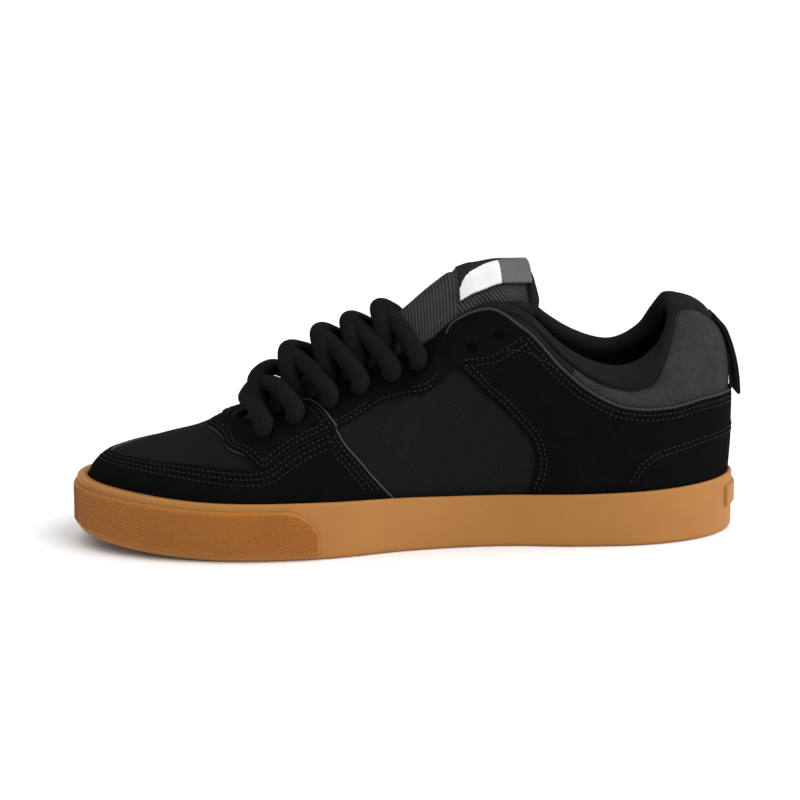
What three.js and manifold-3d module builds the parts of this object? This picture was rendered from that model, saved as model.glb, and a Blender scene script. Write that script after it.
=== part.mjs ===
// A skateboarding shoe for the right foot: gum cupsole, suede and textile upper, padded tongue, fat laces.
// Millimetres. X runs to the toe, Y to the inner (medial) side of the foot and Z up from the floor.
import * as THREE from "three";
import { mergeVertices } from "three/addons/utils/BufferGeometryUtils.js";
import Module from "manifold-3d";

const wasm = await Module();
wasm.setup();

// Driving dimensions
const SOLE_LENGTH = 300;
const BALL_WIDTH = 108;
const COLLAR_HEIGHT = 110;
const TOE_SPRING = 6.5;
const SIDEWALL_HEIGHT = 25.5;
const SIDEWALL = 4.3;
const RIM_BEVEL = 0.9;
const EDGE_BEVEL = 2.5;
const FLOOR_THICKNESS = 12.5;
const BUMPER_STEP = 1;
const BUMPER_MARGIN = 3;
const BUMPER_END = 0.14;
const BUMPER_CORNER = 17;
const HEEL_PLATE_STEP = 1.4;
const HEEL_PLATE_LOW = 12;
const HEEL_PLATE_WIDTH = 30;
const HEEL_PLATE_HEIGHT = 10;
const GROOVE_WIDTH = 3;
const GROOVE_DEPTH = 1.5;
const GROOVE_MARGIN = 8;
const INSOLE_THICKNESS = 4.5;
const INSOLE_EASE = 1.4;
const WALL = 2.4;
const COLLAR_PADDING = 8;
const SUEDE = 1;
const CLEARANCE = 0.3;
const EYELET_BORE = 4.6;
const EYELET_SIDES = 6;
const TONGUE_THICKNESS = 9;
const TONGUE_EDGE = 0.5;
const LACE_WIDTH = 9;
const LACE_THICKNESS = 7;
const LACE_CLEARANCE = 1.3;
const WEBBING = 1.4;
const PULL_TAB_WIDTH = 20;
const PULL_TAB_THICKNESS = 2.3;
const PULL_TAB_STANDOFF = 1.8;
const PULL_TAB_TOP = 0.9;
const PULL_TAB_LOW = 0.29;

// Stations run from 0 at the heel to 12 at the toe, on the medial side, and back along the lateral side.
const STATIONS = 12;
const LOOP = 2 * STATIONS;
const AROUND = 60;
const UP = 7;

function table(columns, rows) {
  return rows.map((row) => Object.fromEntries(columns.map((name, i) => [name, row[i]])));
}

// Half widths of the sole at each station, as shares of the ball width.
const SOLE = table(
  ["medial", "lateral"],
  [
    [0, 0],
    [0.144, 0.144],
    [0.269, 0.278],
    [0.343, 0.357],
    [0.35, 0.38],
    [0.319, 0.403],
    [0.361, 0.458],
    [0.463, 0.514],
    [0.486, 0.491],
    [0.44, 0.398],
    [0.347, 0.269],
    [0.222, 0.097],
    [0.065, -0.065],
  ],
);

// The upper's top edge, round the collar and down the throat. `along` is a share of the sole length from its
// middle, `medial` and `lateral` are shares of the ball width, and the other columns shares of the collar
// height: `lift` is what the lateral side stands higher, `out` and `down` are the handle below the edge,
// `rise` and `lean` the handle above the foot. `pad` is a share of the collar's padding.
const EDGE = table(
  ["at", "along", "medial", "lateral", "height", "lift", "out", "down", "rise", "lean", "pad"],
  [
    [0, -0.413, 0, 0, 0.986, 0, 0.182, 0.045, 0.673, 0.064, 0.8],
    [1, -0.408, 0.079, 0.079, 0.982, 0, 0.177, 0.045, 0.673, 0.059, 0.8],
    [2, -0.395, 0.157, 0.157, 0.959, 0, 0.155, 0.064, 0.618, 0.045, 0.8],
    [2.7, -0.38, 0.218, 0.222, 0.886, 0, 0.118, 0.091, 0.527, 0.032, 0.85],
    [3.3, -0.36, 0.259, 0.269, 0.786, 0.005, 0.082, 0.109, 0.418, 0.023, 0.95],
    [4, -0.317, 0.287, 0.306, 0.709, 0.014, 0.055, 0.127, 0.345, 0.023, 1],
    [4.6, -0.267, 0.296, 0.324, 0.732, 0.023, 0.045, 0.145, 0.345, 0.027, 1],
    [5.1, -0.227, 0.292, 0.324, 0.8, 0.023, 0.045, 0.164, 0.364, 0.032, 0.8],
    [5.7, -0.17, 0.273, 0.306, 0.95, 0.009, 0.064, 0.2, 0.418, 0.036, 0.4],
    [6.2, -0.117, 0.255, 0.278, 1, 0, 0.082, 0.227, 0.436, 0.036, 0.12],
    [6.7, -0.06, 0.236, 0.245, 0.927, 0, 0.1, 0.2, 0.4, 0.032, 0],
    [7.1, -0.027, 0.213, 0.222, 0.845, 0, 0.109, 0.173, 0.364, 0.027, 0],
    [7.6, 0.02, 0.204, 0.208, 0.786, 0, 0.123, 0.155, 0.355, 0.027, 0],
    [8.1, 0.063, 0.199, 0.199, 0.732, 0, 0.136, 0.145, 0.345, 0.027, 0],
    [8.6, 0.11, 0.199, 0.199, 0.668, 0, 0.145, 0.136, 0.327, 0.027, 0],
    [9.2, 0.163, 0.194, 0.194, 0.595, 0, 0.155, 0.127, 0.309, 0.018, 0],
    [9.9, 0.21, 0.167, 0.167, 0.536, 0, 0.182, 0.127, 0.286, 0.014, 0],
    [10.9, 0.248, 0.093, 0.093, 0.505, 0, 0.282, 0.127, 0.277, 0.014, 0],
    [12, 0.262, 0, 0, 0.495, 0, 0.382, 0.118, 0.277, 0.014, 0],
  ],
);

// Height of the sidewall's rim, as a share of the sidewall height, over the sole's length.
const RIM = table(
  ["along", "height"],
  [
    [-0.5, 1.06],
    [-0.367, 0.99],
    [-0.1, 0.94],
    [0.133, 1.02],
    [0.333, 1.06],
    [0.5, 1.22],
  ],
);

// Eyelets from the vamp to the ankle: station round the upper and share of the way up its skin. `arch` is how
// far the lace that ends in a laced pair rises over the tongue, as a share of the collar height.
const EYELETS = table(
  ["at", "up", "arch"],
  [
    [8.81, 0.607, 0.108],
    [8.55, 0.68, 0.108],
    [8.29, 0.765, 0.115],
    [7.96, 0.815, 0.115],
    [7.53, 0.843, 0.083],
    [7.09, 0.85, 0.073],
    [6.28, 0.767, 0],
    [6, 0.833, 0],
  ],
);
const LACED_ROWS = 6;

// The tongue: crown line and vertical thickness, half width and how far its sides drop below the crown.
// `along` is a share of the sole length, `height` and `drop` of the collar height, `half` of the ball width
// and `thick` of the tongue's thickness. `square` is the power of the cross section: higher is flatter.
const TONGUE = table(
  ["along", "height", "half", "drop", "thick", "square"],
  [
    [0.29, 0.405, 0.13, 0.03, 0.3, 2],
    [0.267, 0.447, 0.18, 0.06, 0.35, 2],
    [0.22, 0.535, 0.23, 0.11, 0.6, 2.1],
    [0.157, 0.652, 0.255, 0.165, 0.75, 2.2],
    [0.067, 0.795, 0.26, 0.225, 0.85, 2.3],
    [0, 0.893, 0.25, 0.255, 0.9, 2.5],
    [-0.04, 0.975, 0.228, 0.22, 1, 3.2],
    [-0.08, 1.05, 0.212, 0.19, 1.1, 4],
    [-0.125, 1.085, 0.21, 0.18, 1.2, 4.5],
    [-0.165, 1.085, 0.21, 0.17, 1.1, 4.5],
    [-0.188, 1.05, 0.205, 0.15, 0.6, 4],
  ],
);
const TONGUE_ACROSS = 8;
const TONGUE_STEPS = 12;
const LABEL_FIRST = 9;
const LABEL_LAST = 12;

// Outlines of the suede pieces seen from the side: `along` and `height` as in the tables above.
const MUDGUARD = [
  [0.013, 0.05], [0.03, 0.219], [0.083, 0.397], [0.116, 0.518], [0.134, 0.497], [0.168, 0.463],
  [0.198, 0.414], [0.212, 0.373], [0.235, 0.37], [0.307, 0.371], [0.374, 0.375], [0.425, 0.375],
  [0.449, 0.365], [0.56, 0.34], [0.56, 0.05],
];
const TOE_EYESTAY = [
  [0.117, 0.523], [0.135, 0.502], [0.169, 0.467], [0.2, 0.418], [0.215, 0.408], [0.235, 0.424],
  [0.264, 0.441], [0.282, 0.463], [0.29, 0.48], [0.294, 0.7], [0.16, 0.8], [0.156, 0.64],
  [0.133, 0.584],
];
const EYESTAY = [
  [0.113, 0.523], [0.07, 0.574], [0.044, 0.621], [0.015, 0.637], [-0.02, 0.645], [-0.043, 0.686],
  [-0.06, 0.745], [-0.049, 0.81], [-0.052, 0.893], [-0.05, 1.2], [0.152, 1.2], [0.152, 0.645],
  [0.13, 0.59],
];
const QUARTER = [
  [-0.166, 0.05], [-0.17, 0.212], [-0.188, 0.319], [-0.187, 0.403], [-0.161, 0.501], [-0.13, 0.584],
  [-0.105, 0.612], [-0.089, 0.697], [-0.07, 0.739], [-0.053, 0.809], [-0.056, 0.893], [-0.06, 0.926],
  [-0.094, 0.969], [-0.116, 0.981], [-0.13, 0.971], [-0.149, 0.93], [-0.16, 0.903], [-0.181, 0.862],
  [-0.208, 0.778], [-0.236, 0.705], [-0.267, 0.636], [-0.294, 0.598], [-0.328, 0.569], [-0.357, 0.566],
  [-0.4, 0.571], [-0.453, 0.587], [-0.489, 0.589], [-0.56, 0.592], [-0.56, 0.463], [-0.486, 0.463],
  [-0.454, 0.456], [-0.414, 0.44], [-0.383, 0.424], [-0.363, 0.412], [-0.344, 0.38], [-0.329, 0.34],
  [-0.322, 0.29], [-0.314, 0.25], [-0.299, 0.05],
];
const COUNTER = [
  [-0.301, 0.05], [-0.316, 0.25], [-0.324, 0.29], [-0.331, 0.337], [-0.346, 0.376], [-0.365, 0.408],
  [-0.384, 0.42], [-0.415, 0.436], [-0.454, 0.452], [-0.486, 0.459], [-0.56, 0.459], [-0.56, 0.05],
];

// Cubic interpolation through rows of numbers

function slopesOf(keys, rows) {
  return rows.map((row, i) => {
    if (i === 0 || i === rows.length - 1) {
      const j = i === 0 ? 0 : i - 1;
      return row.map((_, c) => (rows[j + 1][c] - rows[j][c]) / (keys[j + 1] - keys[j]));
    }
    const before = keys[i] - keys[i - 1];
    const after = keys[i + 1] - keys[i];
    return row.map((value, c) => {
      const rising = (rows[i + 1][c] - value) / after;
      const risen = (value - rows[i - 1][c]) / before;
      return (rising * before + risen * after) / (before + after);
    });
  });
}

// A curve through rows at increasing keys: a function of the key that gives a row.
function through(keys, rows) {
  const slopes = slopesOf(keys, rows);
  return (key) => {
    const last = keys.length - 2;
    const found = keys.findIndex((_, i) => i > last || keys[i + 1] >= key);
    const i = Math.min(found < 0 ? last : found, last);
    const gap = keys[i + 1] - keys[i];
    const s = THREE.MathUtils.clamp((key - keys[i]) / gap, 0, 1);
    const keep = (1 + 2 * s) * (1 - s) ** 2;
    const leave = s * (1 - s) ** 2 * gap;
    const arrive = s * s * (s - 1) * gap;
    return rows[i].map(
      (value, c) =>
        keep * value + (1 - keep) * rows[i + 1][c] + leave * slopes[i][c] + arrive * slopes[i + 1][c],
    );
  };
}

// A closed curve round the shoe, from the medial rows and the lateral rows at stations 0 to 12.
function roundShoe(stations, medial, lateral) {
  const back = stations.slice(1, -1).reverse();
  const keys = [...stations, ...back.map((station) => LOOP - station)];
  const rows = [...medial, ...lateral.slice(1, -1).reverse()];
  const wide = through(
    [-1, 0, 1].flatMap((turn) => keys.map((key) => key + turn * LOOP)),
    [...rows, ...rows, ...rows],
  );
  return (station) => wide(THREE.MathUtils.euclideanModulo(station, LOOP));
}

const smooth = (low, high, value) => THREE.MathUtils.smoothstep(value, low, high);

// The sole's plan and its heights

const stationNumbers = SOLE.map((_, station) => station);
const soleX = (station) => (-SOLE_LENGTH / 2) * Math.cos((Math.PI * station) / STATIONS);
const soleRound = roundShoe(
  stationNumbers,
  SOLE.map((row, station) => [soleX(station), row.medial * BALL_WIDTH]),
  SOLE.map((row, station) => [soleX(station), -row.lateral * BALL_WIDTH]),
);

const SPRING_START = 0.235;
const SPRING_RUN = 0.265;
function groundAt(x) {
  const past = THREE.MathUtils.clamp((x / SOLE_LENGTH - SPRING_START) / SPRING_RUN, 0, 1);
  return TOE_SPRING * past ** 2;
}

const rimCurve = through(
  RIM.map((row) => row.along),
  RIM.map((row) => [row.height]),
);
const rimAt = (x) => SIDEWALL_HEIGHT * rimCurve(THREE.MathUtils.clamp(x / SOLE_LENGTH, -0.5, 0.5))[0];
const floorAt = (x) => FLOOR_THICKNESS + groundAt(x);

// The sole's outline at a station, moved in by a distance.
function outline(station, inward) {
  const step = 1e-3;
  const [x, y] = soleRound(station);
  const [x1, y1] = soleRound(station + step);
  const [x0, y0] = soleRound(station - step);
  const length = Math.hypot(x1 - x0, y1 - y0);
  return [x + ((y1 - y0) / length) * inward, y - ((x1 - x0) / length) * inward];
}

// The upper's skin

const edgeRow = (row, y, height) => [
  row.along * SOLE_LENGTH,
  y * BALL_WIDTH,
  height * COLLAR_HEIGHT,
  row.out * COLLAR_HEIGHT,
  row.down * COLLAR_HEIGHT,
  row.rise * COLLAR_HEIGHT,
  row.lean * COLLAR_HEIGHT,
  row.pad * COLLAR_PADDING,
];
const edgeRound = roundShoe(
  EDGE.map((row) => row.at),
  EDGE.map((row) => edgeRow(row, row.medial, row.height)),
  EDGE.map((row) => edgeRow(row, -row.lateral, row.height + row.lift)),
);

const SPINE_HEEL = -0.367;
const SPINE_TOE = 0.22;

// The way out from the shoe's spine to its foot at a station, level with the floor.
function awayFrom(footX, footY) {
  const spine = THREE.MathUtils.clamp(footX, SPINE_HEEL * SOLE_LENGTH, SPINE_TOE * SOLE_LENGTH);
  return new THREE.Vector2(footX - spine, footY).normalize();
}

// A point of the outer skin: `up` runs from 0 at the foot, inside the sidewall, to 1 at the top edge.
function skin(station, up) {
  const [footX, footY] = outline(station, SIDEWALL);
  const [x, y, z, out, down, rise, lean] = edgeRound(station);
  const away = awayFrom(footX, footY);
  const foot = new THREE.Vector3(footX, footY, floorAt(footX) + CLEARANCE);
  const above = foot.clone().add(new THREE.Vector3(away.x * lean, away.y * lean, rise));
  const top = new THREE.Vector3(x, y, z);
  const below = top.clone().add(new THREE.Vector3(away.x * out, away.y * out, -down));
  return new THREE.CubicBezierCurve3(foot, above, below, top).getPoint(up);
}

// A point of the skin, with the way up it and the way straight out of it.
function skinFrame(station, up) {
  const step = 1e-3;
  const low = Math.max(up - step, 0);
  const high = Math.min(up + step, 1);
  const point = skin(station, up);
  const climb = skin(station, high).sub(skin(station, low)).normalize();
  const round = skin(station + step, up).sub(skin(station - step, up));
  const normal = climb.clone().cross(round).normalize();
  return { point, climb, normal };
}

function offSkin(station, up, offset) {
  const { point, normal } = skinFrame(station, up);
  return point.addScaledVector(normal, offset);
}

const BASE_SKIN = -(SUEDE / 2);
const SUEDE_UNDER = BASE_SKIN + CLEARANCE;
const SUEDE_OVER = SUEDE_UNDER + SUEDE;

// Solids from rings of points

function geometryOf(solid) {
  const mesh = solid.getMesh();
  const points = new Float32Array(mesh.numVert * 3);
  for (let i = 0; i < mesh.numVert; i++) {
    points.set(mesh.vertProperties.subarray(i * mesh.numProp, i * mesh.numProp + 3), i * 3);
  }
  return new THREE.BufferGeometry()
    .setAttribute("position", new THREE.BufferAttribute(points, 3))
    .setIndex(new THREE.BufferAttribute(mesh.triVerts, 1));
}

function solidOf(geometry) {
  const bare = geometry.clone();
  bare.deleteAttribute("normal");
  bare.deleteAttribute("uv");
  const merged = mergeVertices(bare, 1e-4);
  const triVerts = new Uint32Array(merged.index.array);
  const vertProperties = new Float32Array(merged.attributes.position.array);
  const made = new wasm.Manifold(new wasm.Mesh({ numProp: 3, vertProperties, triVerts }));
  if (made.volume() > 0) return made;
  for (let i = 0; i < triVerts.length; i += 3) {
    [triVerts[i + 1], triVerts[i + 2]] = [triVerts[i + 2], triVerts[i + 1]];
  }
  return new wasm.Manifold(new wasm.Mesh({ numProp: 3, vertProperties, triVerts }));
}

// Joins rings of equally many points. Looped rings close on themselves, as round a tyre. Otherwise the first
// and last ring are filled: fanned from their first point, or straight across, from point i to point -i of a
// ring with a tip at each end, or in a section that runs along its top and back along its underside.
function ringSolid(rings, kind = "tipped") {
  const count = rings[0].length;
  const half = count / 2;
  const shift = kind === "tipped" ? 0 : 1;
  const flat = rings.flat();
  const at = (ring, i) => (ring % rings.length) * count + (i % count);
  const index = [];
  const strips = kind === "looped" ? rings.length : rings.length - 1;
  for (let ring = 0; ring < strips; ring++) {
    for (let i = 0; i < count; i++) {
      const a = at(ring, i);
      const b = at(ring, i + 1);
      const c = at(ring + 1, i + 1);
      const d = at(ring + 1, i);
      const straight = flat[a].distanceToSquared(flat[c]) < flat[b].distanceToSquared(flat[d]);
      index.push(...(straight ? [a, b, c, a, c, d] : [a, b, d, b, c, d]));
    }
  }
  const fan = (ring, turned) => {
    for (let i = 1; i < count - 1; i++) {
      const [a, b, c] = [at(ring, 0), at(ring, i), at(ring, i + 1)];
      index.push(...(turned ? [c, b, a] : [a, b, c]));
    }
  };
  const ladder = (ring, turned) => {
    for (let i = 0; i < half - shift; i++) {
      const a = at(ring, i);
      const b = at(ring, i + 1);
      const c = at(ring, count - i - 1 - shift);
      const d = at(ring, count - i - shift);
      if (b !== c) index.push(...(turned ? [c, b, a] : [a, b, c]));
      if (a !== d) index.push(...(turned ? [d, c, a] : [a, c, d]));
    }
  };
  if (kind !== "looped") {
    const fill = kind === "fanned" ? fan : ladder;
    fill(0, true);
    fill(rings.length - 1, false);
  }
  const geometry = new THREE.BufferGeometry()
    .setAttribute("position", new THREE.Float32BufferAttribute(flat.flatMap((point) => point.toArray()), 3))
    .setIndex(index);
  return solidOf(geometry);
}

const stations = Array.from({ length: AROUND }, (_, i) => (i * LOOP) / AROUND);
const steps = (count, low = 0, high = 1) =>
  Array.from({ length: count + 1 }, (_, i) => low + ((high - low) * i) / count);

// A ring of the sole: its outline moved in by a distance, at a height that may follow x.
const soleRing = (inward, heightAt) =>
  stations.map((station) => {
    const [x, y] = outline(station, inward);
    return new THREE.Vector3(x, y, heightAt(x));
  });

const skinRing = (up, offset) => stations.map((station) => offSkin(station, up, offset));

// The closed band between two offsets of the skin.
function band(under, over) {
  const rings = [
    ...steps(UP).map((up) => skinRing(up, over)),
    ...steps(UP).reverse().map((up) => skinRing(up, under)),
  ];
  return ringSolid(rings, "looped");
}

// A prism from one Y to another, whose outline is drawn as seen from the side.
function alongY(shape, fromY, toY) {
  const depth = toY - fromY;
  const geometry = new THREE.ExtrudeGeometry(shape, { depth, bevelEnabled: false, curveSegments: 5 });
  geometry.rotateX(Math.PI / 2);
  geometry.translate(0, toY, 0);
  return solidOf(geometry);
}

function sideShape(shares) {
  const toPoint = ([along, height]) => new THREE.Vector2(along * SOLE_LENGTH, height * COLLAR_HEIGHT);
  return new THREE.Shape(shares.map(toPoint));
}

function block(min, max) {
  const size = max.map((value, i) => value - min[i]);
  const geometry = new THREE.BoxGeometry(...size);
  geometry.translate(...max.map((value, i) => (value + min[i]) / 2));
  return solidOf(geometry);
}

// Cupsole: outsole, sidewall, toe bumper and heel plate moulded as one

const CAVITY_TOP = 0.45;
const CAVITY_STEPS = 4;
function footCavity() {
  const offset = SUEDE_OVER + CLEARANCE;
  const rings = steps(CAVITY_STEPS, 0, CAVITY_TOP).map((up) => skinRing(up, offset));
  const lowered = rings[0].map((point) => point.clone().setZ(floorAt(point.x)));
  return ringSolid([lowered, ...rings]);
}

const BUMPER_FOOT = EDGE_BEVEL + 0.4;

// The raised skirt round the toe, with a rounded corner at its rear end on both sides.
function toeBumper() {
  const top = (x) => rimAt(x) - BUMPER_MARGIN;
  const skirt = ringSolid([
    soleRing(0, (x) => groundAt(x) + BUMPER_FOOT),
    soleRing(-BUMPER_STEP, (x) => groundAt(x) + BUMPER_FOOT + BUMPER_STEP),
    soleRing(-BUMPER_STEP, (x) => top(x) - BUMPER_STEP),
    soleRing(0, top),
  ]);
  const rear = BUMPER_END * SOLE_LENGTH;
  const shape = new THREE.Shape();
  shape.moveTo(rear, -COLLAR_HEIGHT);
  shape.lineTo(SOLE_LENGTH, -COLLAR_HEIGHT);
  shape.lineTo(SOLE_LENGTH, COLLAR_HEIGHT);
  shape.lineTo(rear + BUMPER_CORNER, COLLAR_HEIGHT);
  shape.lineTo(rear + BUMPER_CORNER, top(rear));
  shape.absarc(rear + BUMPER_CORNER, top(rear) - BUMPER_CORNER, BUMPER_CORNER, Math.PI / 2, Math.PI, false);
  return skirt.intersect(alongY(shape, -BALL_WIDTH, BALL_WIDTH));
}

// The plain raised plate on the back of the heel.
function heelPlate() {
  const low = HEEL_PLATE_LOW;
  const high = low + HEEL_PLATE_HEIGHT;
  const skirt = ringSolid([
    soleRing(0, () => low),
    soleRing(-HEEL_PLATE_STEP, () => low + HEEL_PLATE_STEP / 2),
    soleRing(-HEEL_PLATE_STEP, () => high - HEEL_PLATE_STEP / 2),
    soleRing(0, () => high),
  ]);
  const half = HEEL_PLATE_WIDTH / 2;
  return skirt.intersect(block([-SOLE_LENGTH, -half, 0], [-SOLE_LENGTH / 4, half, COLLAR_HEIGHT]));
}

const GROOVES = [-0.42, -0.36, 0.09, 0.14, 0.19, 0.24];

// Flex grooves across the tread, which stop short of the sole's edge.
function grooves() {
  const within = ringSolid([
    soleRing(GROOVE_MARGIN, () => -SIDEWALL_HEIGHT),
    soleRing(GROOVE_MARGIN, () => SIDEWALL_HEIGHT),
  ]);
  const half = GROOVE_WIDTH / 2;
  const cuts = GROOVES.map((along) => {
    const x = along * SOLE_LENGTH;
    const top = groundAt(x) + GROOVE_DEPTH;
    return block([x - half, -BALL_WIDTH, -SIDEWALL_HEIGHT], [x + half, BALL_WIDTH, top]);
  });
  return cuts.reduce((joined, cut) => joined.add(cut)).intersect(within);
}

function cupsole() {
  const outside = ringSolid([
    soleRing(EDGE_BEVEL, groundAt),
    soleRing(0, (x) => groundAt(x) + EDGE_BEVEL),
    soleRing(0, (x) => rimAt(x) - RIM_BEVEL),
    soleRing(RIM_BEVEL, rimAt),
  ]);
  return outside.add(toeBumper()).add(heelPlate()).subtract(footCavity()).subtract(grooves());
}

// Insole

function insole() {
  const inside = BASE_SKIN - WALL - CLEARANCE;
  const raised = (point) => point.setZ(point.z + INSOLE_THICKNESS);
  return ringSolid([skinRing(0, inside), skinRing(0, inside - INSOLE_EASE).map(raised)]);
}

// Upper: one hollow shell, open at the collar, down the throat and underneath

const CREST_TURNS = [0.25, 0.5, 0.75];
const wallAt = (station, up) => WALL + edgeRound(station)[7] * smooth(0.12, 0.75, up);

function crest(station) {
  const { climb, normal } = skinFrame(station, 1);
  const outer = offSkin(station, 1, BASE_SKIN);
  const inner = offSkin(station, 1, BASE_SKIN - wallAt(station, 1));
  const middle = outer.clone().add(inner).divideScalar(2);
  const radius = outer.distanceTo(inner) / 2;
  return CREST_TURNS.map((turn) =>
    middle
      .clone()
      .addScaledVector(normal, radius * Math.cos(Math.PI * turn))
      .addScaledVector(climb, radius * Math.sin(Math.PI * turn)),
  );
}

function upper() {
  const crests = stations.map(crest);
  const rings = [
    ...steps(UP).map((up) => skinRing(up, BASE_SKIN)),
    ...CREST_TURNS.map((_, turn) => crests.map((points) => points[turn])),
    ...steps(UP)
      .reverse()
      .map((up) => stations.map((station) => offSkin(station, up, BASE_SKIN - wallAt(station, up)))),
  ];
  return ringSolid(rings, "looped");
}

// A plug through the wall at each eyelet, along the skin's normal.
function eyeletPlugs() {
  const reach = 2 * (WALL + SUEDE);
  return EYELETS.flatMap((eyelet) =>
    [eyelet.at, LOOP - eyelet.at].map((station) => {
      const { point, normal } = skinFrame(station, eyelet.up);
      const plug = new THREE.CylinderGeometry(EYELET_BORE / 2, EYELET_BORE / 2, 2 * reach, EYELET_SIDES);
      plug.applyQuaternion(new THREE.Quaternion().setFromUnitVectors(new THREE.Vector3(0, 1, 0), normal));
      plug.translate(point.x, point.y, point.z);
      return solidOf(plug);
    }),
  );
}

// Tongue: its crown line falls to the vamp, and its sides drop below the crown

const tongueCurve = through(
  TONGUE.map((row) => -row.along),
  TONGUE.map((row) => [
    row.height * COLLAR_HEIGHT,
    row.half * BALL_WIDTH,
    row.drop * COLLAR_HEIGHT,
    row.thick * TONGUE_THICKNESS,
    row.square,
  ]),
);

function tongueTop(x, y) {
  const [height, half, drop, , square] = tongueCurve(-x / SOLE_LENGTH);
  return height - drop * Math.min(Math.abs(y) / half, 1) ** square;
}

const tongueTurns = steps(TONGUE_ACROSS, -1, 1).map((turn) => Math.sin((turn * Math.PI) / 2));
const tongueStations = steps(TONGUE_STEPS, TONGUE[0].along, TONGUE.at(-1).along);

function tongueSection(along) {
  const x = along * SOLE_LENGTH;
  const [height, half, drop, thick, square] = tongueCurve(-along);
  const under = half - TONGUE_EDGE * thick;
  const shallow = drop - TONGUE_EDGE * thick;
  const curve = (width, crown, fall) =>
    tongueTurns.map((turn) => new THREE.Vector3(x, turn * width, crown - fall * Math.abs(turn) ** square));
  return { top: curve(half, height, drop), low: curve(under, height - thick, shallow) };
}

const tongue = () =>
  ringSolid(
    tongueStations.map((along) => {
      const { top, low } = tongueSection(along);
      return [...top, ...low.reverse()];
    }),
    "section",
  );

// Label ribbon: lies across the tongue's top, just short of its edges

function tongueLabel() {
  const rings = tongueStations.slice(LABEL_FIRST, LABEL_LAST + 1).map((along) => {
    const top = tongueSection(along).top.slice(1, -1);
    const above = (distance) => top.map((point) => point.clone().setZ(point.z + distance));
    return [...above(CLEARANCE + WEBBING), ...above(CLEARANCE).reverse()];
  });
  return ringSolid(rings, "section");
}

// Heel pull tab: folded webbing down the back of the collar, its lower end free

function pullTab() {
  const half = PULL_TAB_WIDTH / 2;
  const rings = steps(8, PULL_TAB_TOP, PULL_TAB_LOW).map((up) => {
    const free = smooth(PULL_TAB_TOP, PULL_TAB_LOW, up);
    const under = SUEDE_OVER + CLEARANCE + PULL_TAB_STANDOFF * free;
    const { point, normal } = skinFrame(0, up);
    const near = point.clone().addScaledVector(normal, under);
    const far = point.clone().addScaledVector(normal, under + PULL_TAB_THICKNESS);
    const side = (centre, y) => centre.clone().setY(y);
    return [side(near, -half), side(near, half), side(far, half), side(far, -half)];
  });
  return ringSolid(rings, "section");
}

// Laces: a bar at the first eyelets, then one crossing for each further row

const LACE_STEPS = 7;
const LACE_SIDES = 7;
const CROSSING_OVERLAP = 0.55;
const REST_ON_TONGUE = 0.65;
const OVER_EYELET = 0.8;

// Points of a strand, each with its share of the eyelet's distance from the middle and of the arch's rise.
const FOOT_OF_STRAND = 0.36;
const CLIMB = { across: 0.31, rise: 0.7 };
const FALL = { across: 0.42, rise: 0.95 };
const BAR = { across: 0.5, rise: 0.9 };

const level = new THREE.Vector3(0, 0, 1);

// An oval tube along a path, its wide side lying level.
function laceTube(points) {
  const path = new THREE.CatmullRomCurve3(points, false, "centripetal");
  const rings = steps(LACE_STEPS).map((share) => {
    const centre = path.getPoint(share);
    const along = path.getTangent(share);
    const across = along.clone().cross(level).normalize();
    const up = across.clone().cross(along).normalize();
    return Array.from({ length: LACE_SIDES }, (_, i) => {
      const turn = (2 * Math.PI * i) / LACE_SIDES;
      return centre
        .clone()
        .addScaledVector(across, (LACE_WIDTH / 2) * Math.cos(turn))
        .addScaledVector(up, (LACE_THICKNESS / 2) * Math.sin(turn));
    });
  });
  return ringSolid(rings, "fanned");
}

// Where a lace meets an eyelet from outside: just clear of the suede, and a little further out.
function plunge(row, side) {
  const eyelet = EYELETS[row];
  const { point, normal } = skinFrame(side > 0 ? eyelet.at : LOOP - eyelet.at, eyelet.up);
  const clear = SUEDE_OVER + LACE_CLEARANCE;
  return {
    end: point.clone().addScaledVector(normal, clear),
    above: point.clone().addScaledVector(normal, clear + LACE_THICKNESS * OVER_EYELET),
  };
}

// A point over the tongue, leaning out along the throat's slope.
function archPoint(x, y, lift) {
  const step = 1;
  const slope = (tongueTop(x + step, 0) - tongueTop(x - step, 0)) / (2 * step);
  const out = new THREE.Vector3(-slope, 0, 1).normalize();
  return new THREE.Vector3(x, y, tongueTop(x, y)).addScaledVector(out, lift);
}

function laceBar() {
  const [left, right] = [plunge(0, 1), plunge(0, -1)];
  const { x } = left.end;
  const lift = EYELETS[0].arch * COLLAR_HEIGHT;
  return laceTube([
    left.end,
    left.above,
    archPoint(x, left.end.y * BAR.across, lift * BAR.rise),
    archPoint(x, 0, lift),
    archPoint(x, right.end.y * BAR.across, lift * BAR.rise),
    right.above,
    right.end,
  ]);
}

// One strand of a crossing: from beside the tongue at one row, over the crown, into the next row's eyelet.
function strand(row, side, raise) {
  const from = plunge(row, side).end;
  const { end: to, above } = plunge(row + 1, -side);
  const lift = EYELETS[row + 1].arch * COLLAR_HEIGHT + raise;
  return laceTube([
    archPoint(from.x, from.y * FOOT_OF_STRAND, LACE_THICKNESS * REST_ON_TONGUE),
    archPoint(from.x, from.y * CLIMB.across, lift * CLIMB.rise),
    archPoint((from.x + to.x) / 2, 0, lift),
    archPoint(to.x, to.y * FALL.across, lift * FALL.rise),
    above,
    to,
  ]);
}

function laces() {
  const raise = (CROSSING_OVERLAP * LACE_THICKNESS) / 2;
  let joined = laceBar();
  for (let row = 0; row < LACED_ROWS - 1; row++) {
    joined = joined.add(strand(row, 1, raise)).add(strand(row, -1, -raise));
  }
  return joined;
}

// Assembly

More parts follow.
